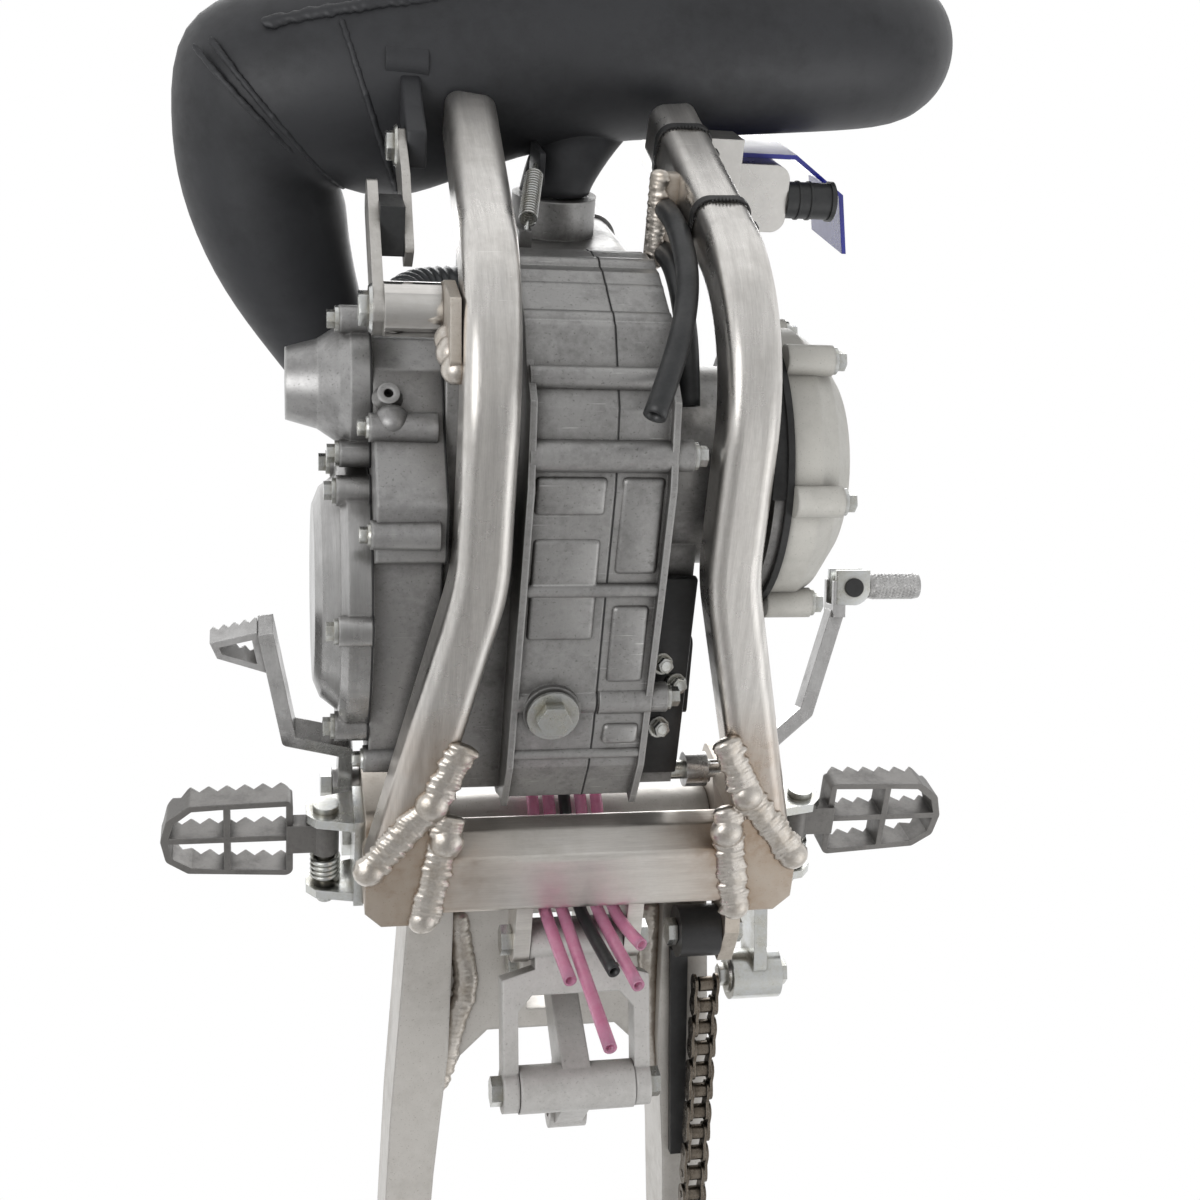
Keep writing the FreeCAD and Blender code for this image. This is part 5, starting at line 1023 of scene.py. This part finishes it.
# cable ties: ladder teeth and a buckle on each
ties = {"foot": (72, -345, 18), "top": (64, -402, 232), "shares": (0.42, 0.84), "half": (17.6, 19.6),
        "corner": 10.6, "cornerCut": 0.41, "teeth": 58, "tooth": (0.9, 3.6, 0.5), "buckle": (5.5, 8, 9),
        "buckleOut": 2.2, "buckleSoft": 0.9}
bm = bmesh.new()
foot, top = Vector(ties["foot"]), Vector(ties["top"])
along = (top - foot).normalized()
across = (Vector((1, 0, 0)) - along * along.x).normalized()
back = along.cross(across)
for share in ties["shares"]:
    centre = foot.lerp(top, share)
    for i in range(ties["teeth"]):
        angle = 2 * math.pi * i / ties["teeth"]
        ray = Vector((math.cos(angle), math.sin(angle)))
        reach = min(ties["half"][0] / max(abs(ray.x), 1e-6), ties["half"][1] / max(abs(ray.y), 1e-6))
        inset = ties["corner"] * ties["cornerCut"] * min(abs(ray.x * ray.y) * 2.0, 1.0) ** 4
        out = across * ray.x + back * ray.y
        spot = centre + out * (reach - inset)
        axes = Matrix((along.cross(out).normalized(), along, out)).transposed().to_4x4()
        wide, long, tall = ties["tooth"]
        bmesh.ops.create_cube(bm, size=1.0, matrix=Matrix.Translation(spot * mm) @ axes
                              @ Matrix.Diagonal((wide * mm, long * mm, tall * mm * 2, 1)))
    buckle = centre + across * (ties["half"][0] + ties["buckleOut"])
    made = bmesh.ops.create_cube(bm, size=1.0, matrix=Matrix.Translation(buckle * mm)
                                 @ Matrix((across, along, back)).transposed().to_4x4()
                                 @ Matrix.Diagonal((*(size * mm for size in ties["buckle"]), 1)))
    softenEdges(bm, made["verts"], ties["buckleSoft"], 2)
finishPiece("tieTeeth", bm, plasticBlack, "frame", [], 30.0)

# radiator hose: clamp rings and a thick rim
spout = {"spot": (-358, 249), "rings": [(158, 1.6, 12.8), (166, 1.6, 12.8), (180.4, 3.0, 13.2)]}
bm = bmesh.new()
y, z = spout["spot"]
for x, wide, radius in spout["rings"]:
    rodAt(bm, (x, y, z), (x + wide, y, z), radius, 36)
finishPiece("spoutRings", bm, rubberBlack, "frame", [], 40.0)

# sprocket side: a black plate under the gearbox that stands in for the shade there (painted shade), with its
# bolts
shadePlateAndBolts = {"plate": ((36, -178, 40), (61, -44, 46.5)), "plateSoft": 1.5,
         "bolts": [(44, -122, 40), (54, -108, 40), (46, -78, 40)], "boltWay": (0.2, -0.2, -1),
         "boltSize": (5.2, 7.0, 7.4)}
bm = bmesh.new()
blockAt(bm, *shadePlateAndBolts["plate"], shadePlateAndBolts["plateSoft"], 2)
finishPiece("guardShadePlate", bm, plasticBlack, "frame")
bm = bmesh.new()
for spot in shadePlateAndBolts["bolts"]:
    hexBolt(bm, spot, shadePlateAndBolts["boltWay"], *shadePlateAndBolts["boltSize"])
finishPiece("guardBolts", bm, zincBolt, "frame")

# stand bracket bolt, drain plug washer
plugWasher = {"standBolt": (117.8, 126, 52), "standBoltSize": (8.0, 7.0, 12.5),
              "low": (-26, -104, 9.4), "high": (-26, -104, 10.8), "lowRadius": 15.4, "highRadius": 16.0}
bm = bmesh.new()
hexBolt(bm, plugWasher["standBolt"], (-1, 0, 0), *plugWasher["standBoltSize"])
rodAt(bm, plugWasher["low"], plugWasher["high"], plugWasher["lowRadius"], 40, plugWasher["highRadius"])
finishPiece("plugWasher", bm, zincBolt, "frame")
print("small parts made")

# studio: pale floor, white surround, soft lamps
studio = {
    "floor": -0.22, "floorSize": 8.0, "floorDark": rgb(0.84, 0.84, 0.84), "floorLight": rgb(0.88, 0.88, 0.88),
    "floorMottle": 1.5, "floorRough": 0.7, "surround": 1.0, "fill": 0.45, "aimAt": (0, -0.1, 0.1),
    "lamps": [
        {"name": "belowLeft", "place": (-1.6, -1.0, -1.7), "size": 1.4, "power": 34.0},
        {"name": "belowRight", "place": (1.7, 0.6, -1.6), "size": 1.6, "power": 20.0},
        {"name": "overhead", "place": (0.4, -0.6, 2.6), "size": 2.4, "power": 42.0},
    ],
}


def setStudio(plan):
    bm = bmesh.new()
    bmesh.ops.create_grid(bm, x_segments=2, y_segments=2, size=plan["floorSize"] / 2,
                          matrix=Matrix.Translation((0, 0, plan["floor"])))
    mesh = bpy.data.meshes.new("studioFloor")
    bm.to_mesh(mesh)
    bm.free()
    floor = bpy.data.objects.new("studioFloor", mesh)
    bpy.context.scene.collection.objects.link(floor)
    paint = bpy.data.materials.new("floorPaint")
    paint.use_nodes = True
    tree = paint.node_tree
    shader = tree.nodes["Principled BSDF"]
    tone = addNode(tree, "ShaderNodeGroup", node_tree=mottleGroup)
    tone.inputs["Scale"].default_value = plan["floorMottle"]
    tree.links.new(blendColour(tree, tone.outputs["Tone"], plan["floorDark"], plan["floorLight"]),
                   shader.inputs["Base Color"])
    shader.inputs["Roughness"].default_value = plan["floorRough"]
    ray = addNode(tree, "ShaderNodeLightPath")
    under = addNode(tree, "ShaderNodeNewGeometry").outputs["Backfacing"]
    through = calc(tree, "MAXIMUM", under, ray.outputs["Is Shadow Ray"])  # seen through from below
    mix = addNode(tree, "ShaderNodeMixShader", {0: through, 1: shader.outputs[0],
                                               2: addNode(tree, "ShaderNodeBsdfTransparent").outputs[0]})
    tree.links.new(mix.outputs[0], tree.nodes["Material Output"].inputs["Surface"])
    mesh.materials.append(paint)
    world = bpy.data.worlds.new("studioWorld")
    bpy.context.scene.world = world
    world.use_nodes = True
    tree = world.node_tree
    ray = addNode(tree, "ShaderNodeLightPath")
    seen = calc(tree, "MAXIMUM", ray.outputs["Is Camera Ray"],
                calc(tree, "MAXIMUM", ray.outputs["Is Glossy Ray"], ray.outputs["Is Transmission Ray"]))
    strength = remap(tree, seen, 0.0, 1.0, plan["fill"], plan["surround"])
    tree.nodes["Background"].inputs["Color"].default_value = rgb(1, 1, 1)
    tree.links.new(strength, tree.nodes["Background"].inputs["Strength"])
    for lamp in plan["lamps"]:
        light = bpy.data.lights.new(lamp["name"], "AREA")
        light.shape = "DISK"
        light.size = lamp["size"]
        light.energy = lamp["power"]
        holder = bpy.data.objects.new(lamp["name"], light)
        spot = Vector(lamp["place"])
        holder.matrix_world = Matrix.Translation(spot) @ aim(spot - Vector(plan["aimAt"]))
        bpy.context.scene.collection.objects.link(holder)


setStudio(studio)
print("studio lit")
